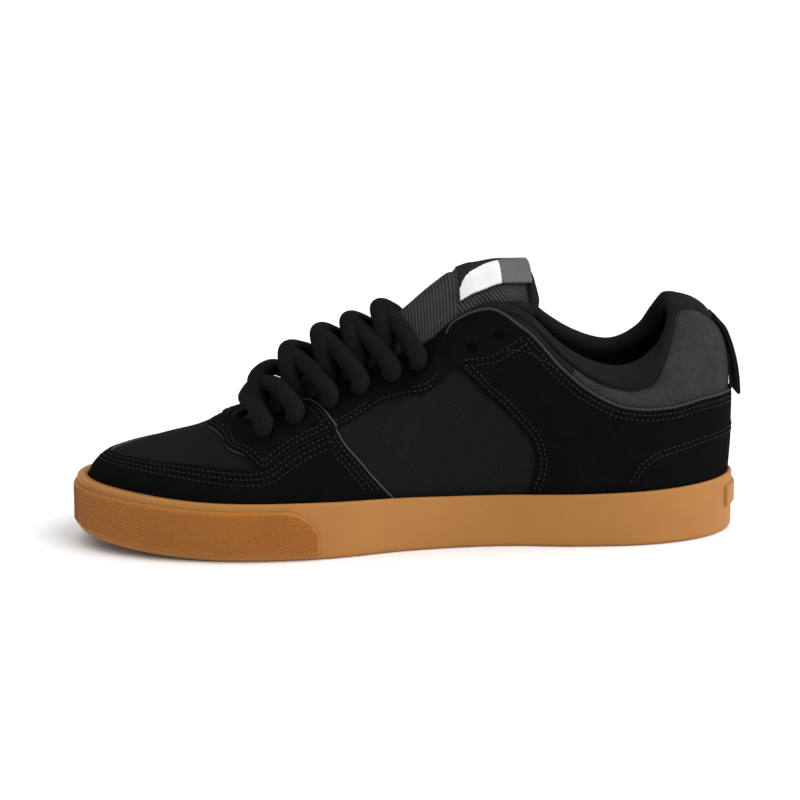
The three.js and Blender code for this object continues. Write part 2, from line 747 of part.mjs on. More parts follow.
const upperBand = band(SUEDE_UNDER, SUEDE_OVER);
const plugs = eyeletPlugs();
const punched = (solid) => plugs.reduce((left, plug) => left.subtract(plug), solid);
const suede = (shares, fromY, toY) => punched(upperBand.intersect(alongY(sideShape(shares), fromY, toY)));

const GUM = { color: 0xb27c44, roughness: 0.6 };
const SUEDE_BLACK = { color: 0x151414, roughness: 0.95 };
const TEXTILE = { color: 0x242322, roughness: 0.9 };
const LINING = { color: 0x1a1a1a, roughness: 1 };
const LACE = { color: 0x1c1b1b, roughness: 0.85 };
const RIBBON = { color: 0x4c4b4a, roughness: 0.8 };

const shoe = new THREE.Group();
function place(name, solid, finish) {
  const mesh = new THREE.Mesh(geometryOf(solid), new THREE.MeshStandardMaterial({ ...finish, metalness: 0 }));
  mesh.name = name;
  shoe.add(mesh);
}

const seam = CLEARANCE / 2;
place("cupsole", cupsole(), GUM);
place("insole", insole(), LINING);
place("upper", punched(upper()), TEXTILE);
place("mudguard", suede(MUDGUARD, -BALL_WIDTH, BALL_WIDTH), SUEDE_BLACK);
place("toe_eyestay", suede(TOE_EYESTAY, -BALL_WIDTH, BALL_WIDTH), SUEDE_BLACK);
place("heel_counter", suede(COUNTER, -BALL_WIDTH, BALL_WIDTH), SUEDE_BLACK);
for (const [side, fromY, toY] of [["medial", seam, BALL_WIDTH], ["lateral", -BALL_WIDTH, -seam]]) {
  place(`eyestay_${side}`, suede(EYESTAY, fromY, toY), SUEDE_BLACK);
  place(`quarter_${side}`, suede(QUARTER, fromY, toY), SUEDE_BLACK);
}
place("tongue", tongue(), TEXTILE);
place("tongue_label", tongueLabel(), RIBBON);
place("heel_pull_tab", pullTab(), RIBBON);
place("laces", laces(), LACE);

export default shoe;
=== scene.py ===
# Looks of the skateboarding shoe: gum cupsole, black suede and textile upper, padded tongue and fat laces.
# Sizes are millimetres until a mesh is written. X runs to the toe, Y to the inner (medial) side, Z up.
import math

import bmesh
import bpy
import numpy as np
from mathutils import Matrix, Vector
from mathutils.geometry import delaunay_2d_cdt


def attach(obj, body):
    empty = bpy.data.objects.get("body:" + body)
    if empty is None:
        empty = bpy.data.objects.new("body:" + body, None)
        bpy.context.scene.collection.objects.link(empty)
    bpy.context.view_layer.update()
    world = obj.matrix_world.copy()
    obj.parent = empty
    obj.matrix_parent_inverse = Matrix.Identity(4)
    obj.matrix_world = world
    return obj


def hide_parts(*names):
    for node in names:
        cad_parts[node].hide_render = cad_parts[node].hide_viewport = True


MM = 0.001

# Sizes that the solids have too
SOLE_LENGTH = 300.0
BALL_WIDTH = 108.0
COLLAR_HEIGHT = 110.0
TOE_SPRING = 6.5
SPRING_START = 0.235
SPRING_RUN = 0.265
SIDEWALL_HEIGHT = 25.5
SIDEWALL = 4.3
FLOOR_THICKNESS = 12.5
CLEARANCE = 0.3
WALL = 2.4
COLLAR_PADDING = 8.0
BASE_SKIN = -0.5
SUEDE_OVER = 0.8
TONGUE_THICKNESS = 9.0
LACE_WIDTH = 9.0
LACE_THICKNESS = 7.0
STATIONS = 12
LOOP = 24

# Half widths of the sole at each station, medial and lateral, as shares of the ball width.
SOLE = [
    (0, 0), (0.144, 0.144), (0.269, 0.278), (0.343, 0.357), (0.35, 0.38), (0.319, 0.403), (0.361, 0.458),
    (0.463, 0.514), (0.486, 0.491), (0.44, 0.398), (0.347, 0.269), (0.222, 0.097), (0.065, -0.065),
]

# The upper's top edge: station, along, medial, lateral, height, lift, out, down, rise, lean, padding.
EDGE = [
    (0, -0.413, 0, 0, 0.986, 0, 0.182, 0.045, 0.673, 0.064, 0.8),
    (1, -0.408, 0.079, 0.079, 0.982, 0, 0.177, 0.045, 0.673, 0.059, 0.8),
    (2, -0.395, 0.157, 0.157, 0.959, 0, 0.155, 0.064, 0.618, 0.045, 0.8),
    (2.7, -0.38, 0.218, 0.222, 0.886, 0, 0.118, 0.091, 0.527, 0.032, 0.85),
    (3.3, -0.36, 0.259, 0.269, 0.786, 0.005, 0.082, 0.109, 0.418, 0.023, 0.95),
    (4, -0.317, 0.287, 0.306, 0.709, 0.014, 0.055, 0.127, 0.345, 0.023, 1),
    (4.6, -0.267, 0.296, 0.324, 0.732, 0.023, 0.045, 0.145, 0.345, 0.027, 1),
    (5.1, -0.227, 0.292, 0.324, 0.8, 0.023, 0.045, 0.164, 0.364, 0.032, 0.8),
    (5.7, -0.17, 0.273, 0.306, 0.95, 0.009, 0.064, 0.2, 0.418, 0.036, 0.4),
    (6.2, -0.117, 0.255, 0.278, 1, 0, 0.082, 0.227, 0.436, 0.036, 0.12),
    (6.7, -0.06, 0.236, 0.245, 0.927, 0, 0.1, 0.2, 0.4, 0.032, 0),
    (7.1, -0.027, 0.213, 0.222, 0.845, 0, 0.109, 0.173, 0.364, 0.027, 0),
    (7.6, 0.02, 0.204, 0.208, 0.786, 0, 0.123, 0.155, 0.355, 0.027, 0),
    (8.1, 0.063, 0.199, 0.199, 0.732, 0, 0.136, 0.145, 0.345, 0.027, 0),
    (8.6, 0.11, 0.199, 0.199, 0.668, 0, 0.145, 0.136, 0.327, 0.027, 0),
    (9.2, 0.163, 0.194, 0.194, 0.595, 0, 0.155, 0.127, 0.309, 0.018, 0),
    (9.9, 0.21, 0.167, 0.167, 0.536, 0, 0.182, 0.127, 0.286, 0.014, 0),
    (10.9, 0.248, 0.093, 0.093, 0.505, 0, 0.282, 0.127, 0.277, 0.014, 0),
    (12, 0.262, 0, 0, 0.495, 0, 0.382, 0.118, 0.277, 0.014, 0),
]

# Height of the sidewall's rim as a share of the sidewall height, over the sole's length.
RIM = [(-0.5, 1.06), (-0.367, 0.99), (-0.1, 0.94), (0.133, 1.02), (0.333, 1.06), (0.5, 1.22)]

# Eyelets from the vamp to the ankle, on the medial side: station, up. Each has a twin on the lateral side.
EYELETS = [
    (8.81, 0.607), (8.55, 0.68), (8.29, 0.765), (7.96, 0.815), (7.53, 0.843), (7.09, 0.85), (6.28, 0.767),
    (6, 0.833),
]
EYELET_PLACES = [(station, up) for at, up in EYELETS for station in (at, LOOP - at)]
LACED_ROWS = 6

# The tongue: along, crown height, half width, drop of its sides, thickness, power of its cross section.
TONGUE = [
    (0.29, 0.405, 0.13, 0.03, 0.3, 2), (0.267, 0.447, 0.18, 0.06, 0.35, 2),
    (0.22, 0.535, 0.23, 0.11, 0.6, 2.1), (0.157, 0.652, 0.255, 0.165, 0.75, 2.2),
    (0.067, 0.795, 0.26, 0.225, 0.85, 2.3), (0, 0.946, 0.25, 0.25, 0.9, 2.4),
    (-0.04, 1.04, 0.235, 0.24, 0.95, 2.3), (-0.075, 1.103, 0.227, 0.215, 1.05, 2.3),
    (-0.105, 1.112, 0.222, 0.168, 1.15, 2.6), (-0.135, 1.122, 0.222, 0.137, 1.2, 3),
    (-0.16, 1.12, 0.222, 0.137, 1.1, 3), (-0.178, 1.1, 0.215, 0.125, 0.7, 3.4),
]

# Outlines of the suede pieces on the medial side: station and share of the way up the skin.
MUDGUARD = [
    (5.95, 0.01), (6.22, 0.083), (6.49, 0.167), (6.85, 0.283), (7.25, 0.39), (7.6, 0.49), (7.63, 0.503),
    (7.66, 0.503), (7.76, 0.473), (7.94, 0.425), (8.03, 0.36), (8.08, 0.305), (8.25, 0.298),
    (8.6, 0.318), (9.03, 0.35), (9.6, 0.395), (10.15, 0.42), (10.7, 0.43), (11.3, 0.42), (12, 0.405),
]
TOE_EYESTAY = [
    (12, 0.9), (11.2, 0.885), (10.46, 0.823), (9.8, 0.69), (9.4, 0.575), (9.01, 0.48), (8.6, 0.41),
    (8.35, 0.34), (8.12, 0.29), (8.02, 0.295), (8.0, 0.37), (7.91, 0.43), (7.74, 0.475), (7.62, 0.5),
    (7.64, 0.508), (8.0, 0.61), (8.32, 0.713), (8.65, 0.83), (8.95, 0.94), (9.08, 0.985), (9.2, 0.99),
    (12, 0.99),
]
EYESTAY = [
    (9.15, 0.99), (8.95, 0.9), (8.55, 0.75), (8.1, 0.6), (7.72, 0.5), (7.61, 0.487), (7.5, 0.52),
    (7.38, 0.57), (7.29, 0.62), (7.1, 0.622), (6.9, 0.597), (6.65, 0.56), (6.47, 0.545), (6.37, 0.6),
    (6.3, 0.67), (6.4, 0.8), (6.55, 0.9), (6.6, 0.99), (6.7, 0.99),
]
QUARTER = [
    (6.79, 0.99), (6.76, 0.95), (6.7, 0.86), (6.6, 0.77), (6.42, 0.69), (6.24, 0.64), (5.98, 0.585),
    (5.71, 0.53), (5.45, 0.505), (5.13, 0.453), (4.88, 0.39), (4.73, 0.31), (4.64, 0.227),
    (4.66, 0.133), (4.7, 0.06), (4.72, 0.01), (3.45, 0.01), (3.36, 0.1), (3.22, 0.16), (2.95, 0.19),
    (2.6, 0.19), (1.57, 0.18), (0.7, 0.177), (0.08, 0.177), (0.012, 0.187), (0.012, 0.285),
    (0.012, 0.293), (0.08, 0.293), (0.46, 0.293), (1.0, 0.3), (1.61, 0.31), (2.42, 0.343), (2.75, 0.38),
    (3.03, 0.433), (3.3, 0.5), (3.56, 0.57), (3.86, 0.66), (4.15, 0.733), (4.49, 0.8), (4.92, 0.86),
    (5.27, 0.887), (5.56, 0.903), (5.77, 0.915), (5.88, 0.927), (6.07, 0.955), (6.2, 0.968),
    (6.39, 0.977), (6.6, 0.985),
]
COUNTER = [
    (0, 0.197), (0.7, 0.197), (1.57, 0.2), (2.23, 0.21), (2.62, 0.217), (2.87, 0.228), (3.08, 0.223),
    (3.22, 0.205), (3.31, 0.16), (3.38, 0.12), (3.44, 0.07), (3.5, 0.01),
]

# Lower seam of the smooth collar roll, and upper edge of the suede below it: station, up.
ROLL = [
    (0, 0.66), (0.5, 0.668), (0.8, 0.69), (1, 0.75), (1.25, 0.83), (1.55, 0.885), (1.9, 0.925),
    (2.23, 0.92), (2.47, 0.85), (2.63, 0.77), (2.75, 0.69), (2.9, 0.647), (3.06, 0.63), (3.25, 0.655),
    (3.5, 0.713), (4.0, 0.84), (4.37, 0.89), (4.73, 0.93), (5.04, 0.95), (5.31, 0.96), (5.7, 0.965),
    (6.2, 0.97), (6.7, 0.975), (12, 0.975),
]
SUEDE_TOP = [
    (0, 0.293), (1, 0.3), (1.61, 0.31), (2.42, 0.343), (3.03, 0.433), (3.56, 0.57), (4.15, 0.733),
    (4.49, 0.8), (4.92, 0.86), (5.27, 0.887), (5.77, 0.907), (6.2, 0.96), (12, 0.965),
]


# Interpolation


def curve_through(keys, rows):
    keys = np.asarray(keys, float)
    rows = np.asarray(rows, float)
    slopes = np.gradient(rows, keys, axis=0)

    def at(key):
        key = np.asarray(key, float)
        i = np.clip(np.searchsorted(keys, key, side="right") - 1, 0, len(keys) - 2)
        gap = keys[i + 1] - keys[i]
        s = np.clip((key - keys[i]) / gap, 0, 1)[..., None]
        gap = gap[..., None]
        keep = (1 + 2 * s) * (1 - s) ** 2
        leave = s * (1 - s) ** 2 * gap
        arrive = s * s * (s - 1) * gap
        return keep * rows[i] + (1 - keep) * rows[i + 1] + leave * slopes[i] + arrive * slopes[i + 1]

    return at


def value_curve(table):
    """A curve through rows of key and value, giving the value alone."""
    at = curve_through([key for key, _ in table], [[value] for _, value in table])
    return lambda key: at(key)[..., 0]


def round_shoe(stations, medial, lateral):
    """A closed curve round the shoe: medial from station 0 to 12, lateral back to 24."""
    keys = np.array(list(stations) + [LOOP - s for s in stations[-2:0:-1]], float)
    rows = np.array(list(medial) + list(lateral[-2:0:-1]), float)
    wide = curve_through(np.concatenate([keys - LOOP, keys, keys + LOOP]), np.concatenate([rows] * 3))
    return lambda station: wide(np.mod(station, LOOP))


def smooth(low, high, value):
    t = np.clip((value - low) / (high - low), 0, 1)
    return t * t * (3 - 2 * t)


def unit(vectors):
    return vectors / np.maximum(np.linalg.norm(vectors, axis=-1, keepdims=True), 1e-9)


def run_along(places):
    """Distance from the start at each point of a line."""
    return np.concatenate([[0], np.cumsum(np.linalg.norm(np.diff(places, axis=0), axis=1))])


# The sole's plan and heights, and the upper's skin

station_x = [-SOLE_LENGTH / 2 * math.cos(math.pi * k / STATIONS) for k in range(STATIONS + 1)]
sole_round = round_shoe(
    list(range(STATIONS + 1)),
    [(x, medial * BALL_WIDTH) for x, (medial, _) in zip(station_x, SOLE)],
    [(x, -lateral * BALL_WIDTH) for x, (_, lateral) in zip(station_x, SOLE)],
)


def edge_values(row, side):
    """One row of the upper's edge: its place, out, down, rise and lean in millimetres, then its padding."""
    _, along, medial, lateral, height, lift, *pulls, padding = row
    across = medial if side > 0 else -lateral
    top = height if side > 0 else height + lift
    place = [along * SOLE_LENGTH, across * BALL_WIDTH, top * COLLAR_HEIGHT]
    return place + [share * COLLAR_HEIGHT for share in pulls] + [padding]


edge_round = round_shoe(
    [row[0] for row in EDGE], [edge_values(row, 1) for row in EDGE], [edge_values(row, -1) for row in EDGE]
)
rim_share = value_curve(RIM)
SPINE_HEEL = -0.367 * SOLE_LENGTH
SPINE_TOE = 0.22 * SOLE_LENGTH
STEP = 1e-3


def ground_at(x):
    past = np.clip((np.asarray(x) / SOLE_LENGTH - SPRING_START) / SPRING_RUN, 0, 1)
    return TOE_SPRING * past**2


def rim_at(x):
    return SIDEWALL_HEIGHT * rim_share(np.clip(np.asarray(x) / SOLE_LENGTH, -0.5, 0.5))


def floor_at(x):
    return FLOOR_THICKNESS + ground_at(x)


def outline(station, inward):
    """The sole's outline, moved in by a distance."""
    station = np.asarray(station, float)
    point = sole_round(station)
    along = unit(sole_round(station + STEP) - sole_round(station - STEP))
    return point + np.stack([along[..., 1], -along[..., 0]], -1) * np.asarray(inward)[..., None]


def skin(station, up):
    """The upper's surface: a curve from the sole at up 0 to the top edge at up 1, all round the foot."""
    station, up = np.broadcast_arrays(np.asarray(station, float), np.asarray(up, float))
    foot = outline(station, SIDEWALL)
    edge = edge_round(station)
    spine = np.clip(foot[..., 0], SPINE_HEEL, SPINE_TOE)
    away = unit(np.stack([foot[..., 0] - spine, foot[..., 1]], -1))
    zero = np.concatenate([foot, (floor_at(foot[..., 0]) + CLEARANCE)[..., None]], -1)
    out, down, rise, lean = np.split(edge[..., 3:7], 4, -1)
    one = zero + np.concatenate([away * lean, rise], -1)
    three = edge[..., :3]
    two = three + np.concatenate([away * out, -down], -1)
    t = up[..., None]
    return (1 - t) ** 3 * zero + 3 * (1 - t) ** 2 * t * one + 3 * (1 - t) * t**2 * two + t**3 * three


def skin_frame(station, up):
    """Point, way up, way round and outward normal of the skin."""
    low = np.clip(np.asarray(up, float) - STEP, 0, 1)
    high = np.clip(np.asarray(up, float) + STEP, 0, 1)
    climb = skin(station, high) - skin(station, low)
    climb = climb / np.maximum(high - low, 1e-9)[..., None]
    round_way = (skin(np.asarray(station) + STEP, up) - skin(np.asarray(station) - STEP, up)) / (2 * STEP)
    normal = unit(np.cross(climb, round_way))
    return skin(station, up), climb, round_way, normal


# Soft hollows and swellings of the skin: two ends (station, up), width and depth in millimetres.
CREASES = [
    ((9.35, 0.42), (10.6, 0.72), 6.0, -0.5),
    ((9.0, 0.4), (9.6, 0.62), 5.0, 0.4),
    ((14.65, 0.42), (13.4, 0.72), 6.0, -0.5),
    ((7.0, 0.15), (7.6, 0.42), 9.0, 0.35),
    ((5.3, 0.2), (5.9, 0.48), 8.0, -0.45),
    ((6.2, 0.2), (6.5, 0.5), 8.0, 0.35),
    ((17.0, 0.15), (16.4, 0.42), 9.0, 0.35),
    ((18.6, 0.2), (18.0, 0.48), 8.0, -0.45),
    ((3.6, 0.3), (4.5, 0.6), 8.0, -0.4),
    ((20.4, 0.3), (19.5, 0.6), 8.0, -0.4),
    ((2.0, 0.45), (2.6, 0.7), 7.0, -0.5),
    ((22.0, 0.45), (21.4, 0.7), 7.0, -0.5),
    ((1.2, 0.35), (1.4, 0.75), 6.0, 0.4),
    ((22.8, 0.35), (22.6, 0.75), 6.0, 0.4),
]

run_stations = np.linspace(-STATIONS, LOOP + STATIONS, 4801)
run_lengths = run_along(outline(run_stations, SIDEWALL))
run_lengths -= np.interp(0, run_stations, run_lengths)
SKIN_RISE = 80.0


def to_plan(station, up):
    """The skin laid out flat: millimetres round the foot, and a nominal height."""
    station, up = np.broadcast_arrays(station, up)
    return np.stack([np.interp(station, run_stations, run_lengths), up * SKIN_RISE], -1)


def from_plan(plan):
    return np.interp(plan[..., 0], run_lengths, run_stations), plan[..., 1] / SKIN_RISE


def relief(station, up):
    """Sum of the soft creases at a place on the skin. Each is deepest halfway along."""
    here = to_plan(np.mod(station, LOOP), up)
    total = np.zeros(here.shape[:-1])
    for start, end, width, depth in CREASES:
        a = to_plan(*start)
        b = to_plan(*end)
        t = np.clip(((here - a) @ (b - a)) / ((b - a) @ (b - a)), 0, 1)
        away = np.linalg.norm(here - a - t[..., None] * (b - a), axis=-1)
        fade = 0.35 + 0.65 * np.sin(np.pi * np.clip(t, 0.05, 0.95))
        total += depth * np.exp(-((away / width) ** 2)) * fade
    return total


def off_skin(station, up, offset):
    point, _, _, normal = skin_frame(station, up)
    return point + normal * (np.asarray(offset) + relief(station, up))[..., None]


def on_skin(line):
    """Real places of a line of station and up."""
    return skin(line[:, 0], np.clip(line[:, 1], 0, 1))


def shifted(line, distance):
    """A closed line on the skin moved by a real distance: inward if it runs forward along its lower side."""
    station = line[:, 0]
    up = np.clip(line[:, 1], 0, 1)
    point, climb, round_way, normal = skin_frame(station, up)
    along = unit(np.roll(point, -1, 0) - np.roll(point, 1, 0))
    wanted = np.cross(along, normal) * distance
    round_square = (round_way * round_way).sum(-1)
    climb_square = (climb * climb).sum(-1)
    shared = (round_way * climb).sum(-1)
    round_part = (wanted * round_way).sum(-1)
    climb_part = (wanted * climb).sum(-1)
    whole = np.maximum(round_square * climb_square - shared * shared, 1e-6)
    moved_station = station + (round_part * climb_square - climb_part * shared) / whole
    moved_up = up + (climb_part * round_square - round_part * shared) / whole
    return np.stack([moved_station, moved_up], -1)


HEEL_TURN = 34.0
TOE_TURN = 45.0


def skin_uv(station, up):
    """Texture place in metres: round the foot and up the skin's length."""
    shares = np.linspace(0, 1, 13)
    track = skin(np.asarray(station)[..., None], np.asarray(up)[..., None] * shares)
    height = np.linalg.norm(np.diff(track, axis=-2), axis=-1).sum(-1)
    place = skin(station, up)
    lateral = np.mod(station, LOOP) > STATIONS
    x, y = place[..., 0], np.abs(place[..., 1])
    along = HEEL_TURN * np.arctan2(y, np.maximum(SPINE_HEEL - x, 0))
    along += np.clip(x, SPINE_HEEL, SPINE_TOE) - SPINE_HEEL
    along += TOE_TURN * np.arctan2(np.maximum(x - SPINE_TOE, 0), np.maximum(y, 1e-6))
    whole = (HEEL_TURN + TOE_TURN) * np.pi / 2 + SPINE_TOE - SPINE_HEEL
    along = np.where(lateral, 2 * whole - along, along)
    return np.stack([along, height], -1) * MM


# Meshes from grids and patches


def new_object(name, mesh, materials):
    for material in materials:
        mesh.materials.append(material)
    made = bpy.data.objects.new(name, mesh)
    bpy.context.scene.collection.objects.link(made)
    return made


def finish_mesh(bm, name):
    mesh = bpy.data.meshes.new(name)
    bm.to_mesh(mesh)
    bm.free()
    mesh.polygons.foreach_set("use_smooth", np.ones(len(mesh.polygons), bool))
    return mesh


def grid_object(name, points, materials, zones=None, uv=None, outward=True):
    """A sheet of rows and columns of points, welded where its edges meet."""
    rows, columns = points.shape[:2]
    bm = bmesh.new()
    bmesh.ops.create_grid(bm, x_segments=columns - 1, y_segments=rows - 1, size=0.5)
    mesh = bpy.data.meshes.new(name)
    bm.to_mesh(mesh)
    bm.free()
    mesh.vertices.foreach_set("co", (points.reshape(-1, 3) * MM).ravel())
    if zones is not None:
        mesh.polygons.foreach_set("material_index", np.asarray(zones, np.int32).ravel())
    corners = np.empty(len(mesh.loops), np.int32)
    mesh.loops.foreach_get("vertex_index", corners)
    if uv is None:
        down, across = np.meshgrid(np.arange(rows), np.arange(columns), indexing="ij")
        uv = np.stack([across / columns, down / rows], -1)
    mesh.uv_layers.new(name="surface").data.foreach_set("uv", uv.reshape(-1, 2)[corners].ravel())
    bm = bmesh.new()
    bm.from_mesh(mesh)
    bpy.data.meshes.remove(mesh)
    bmesh.ops.remove_doubles(bm, verts=bm.verts, dist=1e-6)
    if outward:
        bmesh.ops.recalc_face_normals(bm, faces=bm.faces)
    return new_object(name, finish_mesh(bm, name), materials)


def smoothed(corners, closed=True, rounds=2):
    """Cuts the corners of a line, a few times."""
    line = np.asarray(corners, float)
    for _ in range(rounds):
        following = np.roll(line, -1, 0) if closed else line[1:]
        before = line if closed else line[:-1]
        near = before * 0.75 + following * 0.25
        far = before * 0.25 + following * 0.75
        cut = np.stack([near, far], 1).reshape(-1, 2)
        line = cut if closed else np.concatenate([line[:1], cut, line[-1:]])
    return line


def spaced(line, pitch, closed=True):
    """Points of a line on the skin at even real distances."""
    if closed:
        line = np.concatenate([line, line[:1]])
    shares = np.linspace(0, 1, 8, endpoint=False)[None, :, None]
    dense = (line[:-1, None] + (line[1:] - line[:-1])[:, None] * shares).reshape(-1, 2)
    dense = np.concatenate([dense, line[-1:]])
    run = run_along(on_skin(dense))
    count = max(int(run[-1] / pitch), 8)
    at = np.linspace(0, run[-1], count + 1)
    if closed:
        at = at[:-1]
    return np.stack([np.interp(at, run, dense[:, 0]), np.interp(at, run, dense[:, 1])], -1)


def inside_line(points, line):
    x, y = points[:, 0, None], points[:, 1, None]
    x0, y0 = line[:, 0], line[:, 1]
    x1, y1 = np.roll(x0, -1), np.roll(y0, -1)
    crosses = (y0 > y) != (y1 > y)
    at = x0 + (y - y0) * (x1 - x0) / np.where(np.abs(y1 - y0) < 1e-12, 1e-12, y1 - y0)
    return (np.sum(crosses & (x < at), 1) % 2) == 1


def nearest(points, targets):
    return np.min(np.linalg.norm(points[:, None] - targets[None], axis=-1), 1)


def circle_at(station, up, turn):
    """A place on the skin with its frame, and the directions of a circle lying there."""
    point, climb, round_way, normal = skin_frame(np.array(station), np.array(up))
    first = unit(round_way)
    second = np.cross(normal, first)
    around = np.cos(turn)[:, None] * first + np.sin(turn)[:, None] * second
    return point, climb, round_way, normal, around


HOLE = 2.3
HOLE_SIDES = 16


def hole_line(station, up):
    """A punched eyelet's edge, as a line of station and up."""
    turn = np.linspace(0, 2 * np.pi, HOLE_SIDES, endpoint=False)
    _, climb, round_way, _, around = circle_at(station, up, turn)
    places = np.linalg.lstsq(np.stack([round_way, climb], 1), HOLE * around.T, rcond=None)[0]
    return np.stack([station + places[0], up + places[1]], -1)


def mirrored(line):
    return [(LOOP - station, up) for station, up in reversed(line)]


PANEL_PITCH = 1.4
PANEL_CELL = 2.6
PANEL_RINGS = (0.5, 1.2, 2.4)
RING_GAP = 0.85
FIELD_MARGIN = 0.7
EDGE_FALL = 0.4
EDGE_RUN = 0.45
EDGE_SINK = 0.3


def closed_line(corners):
    """A piece's outline at even distances, running forward along its lower side."""
    line = spaced(smoothed(corners), PANEL_PITCH)
    following = np.roll(line, -1, 0)
    if np.sum(line[:, 0] * following[:, 1] - following[:, 0] * line[:, 1]) < 0:
        line = line[::-1]
    return line


def panel_net(corners):
    """Station, up and faces of a piece of suede with its eyelets, and each point's distance from an edge."""
    line = closed_line(corners)
    holes = [hole_line(*place) for place in EYELET_PLACES if inside_line(np.array([place]), line)[0]]
    edges = [line] + holes
    border = np.concatenate([on_skin(part) for part in edges])
    rings = []
    for distance in PANEL_RINGS:
        for part in edges:
            moved = shifted(part, distance)
            rings.append(moved[nearest(on_skin(moved), border) > RING_GAP * distance])
    plan_line = to_plan(line[:, 0], line[:, 1])
    low, high = plan_line.min(0), plan_line.max(0)
    columns = np.arange(low[0], high[0], PANEL_CELL)
    rows = np.arange(low[1], high[1], PANEL_CELL)
    across, upward = np.meshgrid(columns, rows)
    across[1::2] += PANEL_CELL / 2
    field = np.stack(from_plan(np.stack([across.ravel(), upward.ravel()], -1)), -1)
    field = field[inside_line(field, line)]
    field = field[nearest(on_skin(field), border) > PANEL_RINGS[-1] + FIELD_MARGIN]
    loose = np.concatenate(rings + [field])
    loose = loose[inside_line(loose, line)]
    for hole in holes:
        loose = loose[~inside_line(loose, hole)]
    places = np.concatenate(edges + [loose])
    links = []
    start = 0
    for part in edges:
        links += [(start + i, start + (i + 1) % len(part)) for i in range(len(part))]
        start += len(part)
    plan = to_plan(places[:, 0], places[:, 1])
    vertices, _, faces, _, _, _ = delaunay_2d_cdt([Vector(p) for p in plan], links, [], 0, 1e-5)
    flat = np.array([(v.x, v.y) for v in vertices])
    middle = np.array([flat[list(face)].mean(0) for face in faces])
    keep = inside_line(middle, plan_line)
    for hole in holes:
        keep &= ~inside_line(middle, to_plan(hole[:, 0], hole[:, 1]))
    station, up = from_plan(flat)
    up = np.clip(up, 0, 1)
    kept = [face for face, wanted in zip(faces, keep) if wanted]
    return station, up, kept, nearest(skin(station, up), border)


def panel(name, corners, level, materials):
    """A piece of suede lying on the skin, with its cut edges."""
    station, up, faces, from_edge = panel_net(corners)
    top = off_skin(station, up, level - EDGE_FALL * np.exp(-((from_edge / EDGE_RUN) ** 2))) * MM
    foot = off_skin(station, up, BASE_SKIN - EDGE_SINK) * MM
    uv = skin_uv(station, up)
    bm = bmesh.new()
    number = bm.verts.layers.int.new("number")
    made = []
    for i, place in enumerate(top):
        vertex = bm.verts.new(place)
        vertex[number] = i
        made.append(vertex)
    for face in faces:
        bm.faces.new([made[i] for i in face])
    bmesh.ops.delete(bm, geom=[v for v in bm.verts if not v.link_faces], context="VERTS")
    bm.normal_update()
    _, _, _, normals = skin_frame(station, up)
    facing = sum(face.normal.dot(Vector(normals[face.verts[0][number]])) for face in bm.faces)
    if facing < 0:
        bmesh.ops.reverse_faces(bm, faces=bm.faces)
    open_edges = [edge for edge in bm.edges if edge.is_boundary]
    grown = bmesh.ops.extrude_edge_only(bm, edges=open_edges)["geom"]
    for item in grown:
        if isinstance(item, bmesh.types.BMVert):
            item.co = foot[item[number]]
        elif isinstance(item, bmesh.types.BMFace):
            item.material_index = 1
    surface = bm.loops.layers.uv.new("surface")
    for face in bm.faces:
        for loop in face.loops:
            loop[surface].uv = uv[loop.vert[number]]
    return new_object(name, finish_mesh(bm, name), materials)


# Materials


def node(tree, kind, inputs=None, **settings):
    """A node with its settings. Each input takes a value or another node's socket."""
    made = tree.nodes.new(kind)
    for key, value in settings.items():
        setattr(made, key, value)
    for key, value in (inputs or {}).items():
        if isinstance(value, bpy.types.NodeSocket):
            tree.links.new(value, made.inputs[key])
        else:
            made.inputs[key].default_value = value
    return made


def result_of(tree, operation, first, second=0.0, third=0.0):
    return node(tree, "ShaderNodeMath", {0: first, 1: second, 2: third}, operation=operation).outputs[0]


def new_group(name, values, outputs):
    """A node group that takes a place and named values, and gives plain numbers."""
    tree = bpy.data.node_groups.new(name, "ShaderNodeTree")
    tree.interface.new_socket("Vector", in_out="INPUT", socket_type="NodeSocketVector")
    for label, value in values.items():
        socket = tree.interface.new_socket(label, in_out="INPUT", socket_type="NodeSocketFloat")
        socket.default_value = value
    for label in outputs:
        tree.interface.new_socket(label, in_out="OUTPUT", socket_type="NodeSocketFloat")
    return tree, node(tree, "NodeGroupInput").outputs, node(tree, "NodeGroupOutput").inputs


def plain_weave():
    """Over-and-under threads: height from 0 in the gaps to 1 on the threads."""
    tree, given, made = new_group("plain weave", {"Pitch": 0.001}, ["Height"])
    turns = result_of(tree, "DIVIDE", math.pi, given["Pitch"])
    scaled = node(tree, "ShaderNodeVectorMath", {0: given["Vector"], 3: turns}, operation="SCALE")
    apart = node(tree, "ShaderNodeSeparateXYZ", {0: scaled.outputs[0]})
    across = result_of(tree, "SINE", apart.outputs[0])
    along = result_of(tree, "SINE", apart.outputs[1])
    both = result_of(tree, "MULTIPLY", across, along)
    tree.links.new(result_of(tree, "MULTIPLY_ADD", both, 0.5, 0.5), made["Height"])
    return tree


def zigzag_weave():
    """Slanting ribs that turn back on themselves: height from 0 to 1."""
    values = {"Pitch": 0.001, "Width": 0.006, "Slant": 1.0}
    tree, given, made = new_group("zigzag weave", values, ["Height"])
    apart = node(tree, "ShaderNodeSeparateXYZ", {0: given["Vector"]})
    fold = result_of(tree, "PINGPONG", result_of(tree, "ADD", apart.outputs[0], 10.0), given["Width"])
    slanted = result_of(tree, "MULTIPLY_ADD", fold, given["Slant"], apart.outputs[1])
    turn = result_of(tree, "DIVIDE", slanted, given["Pitch"])
    wave = result_of(tree, "ABSOLUTE", result_of(tree, "SINE", result_of(tree, "MULTIPLY", turn, math.pi)))
    tree.links.new(wave, made["Height"])
    return tree


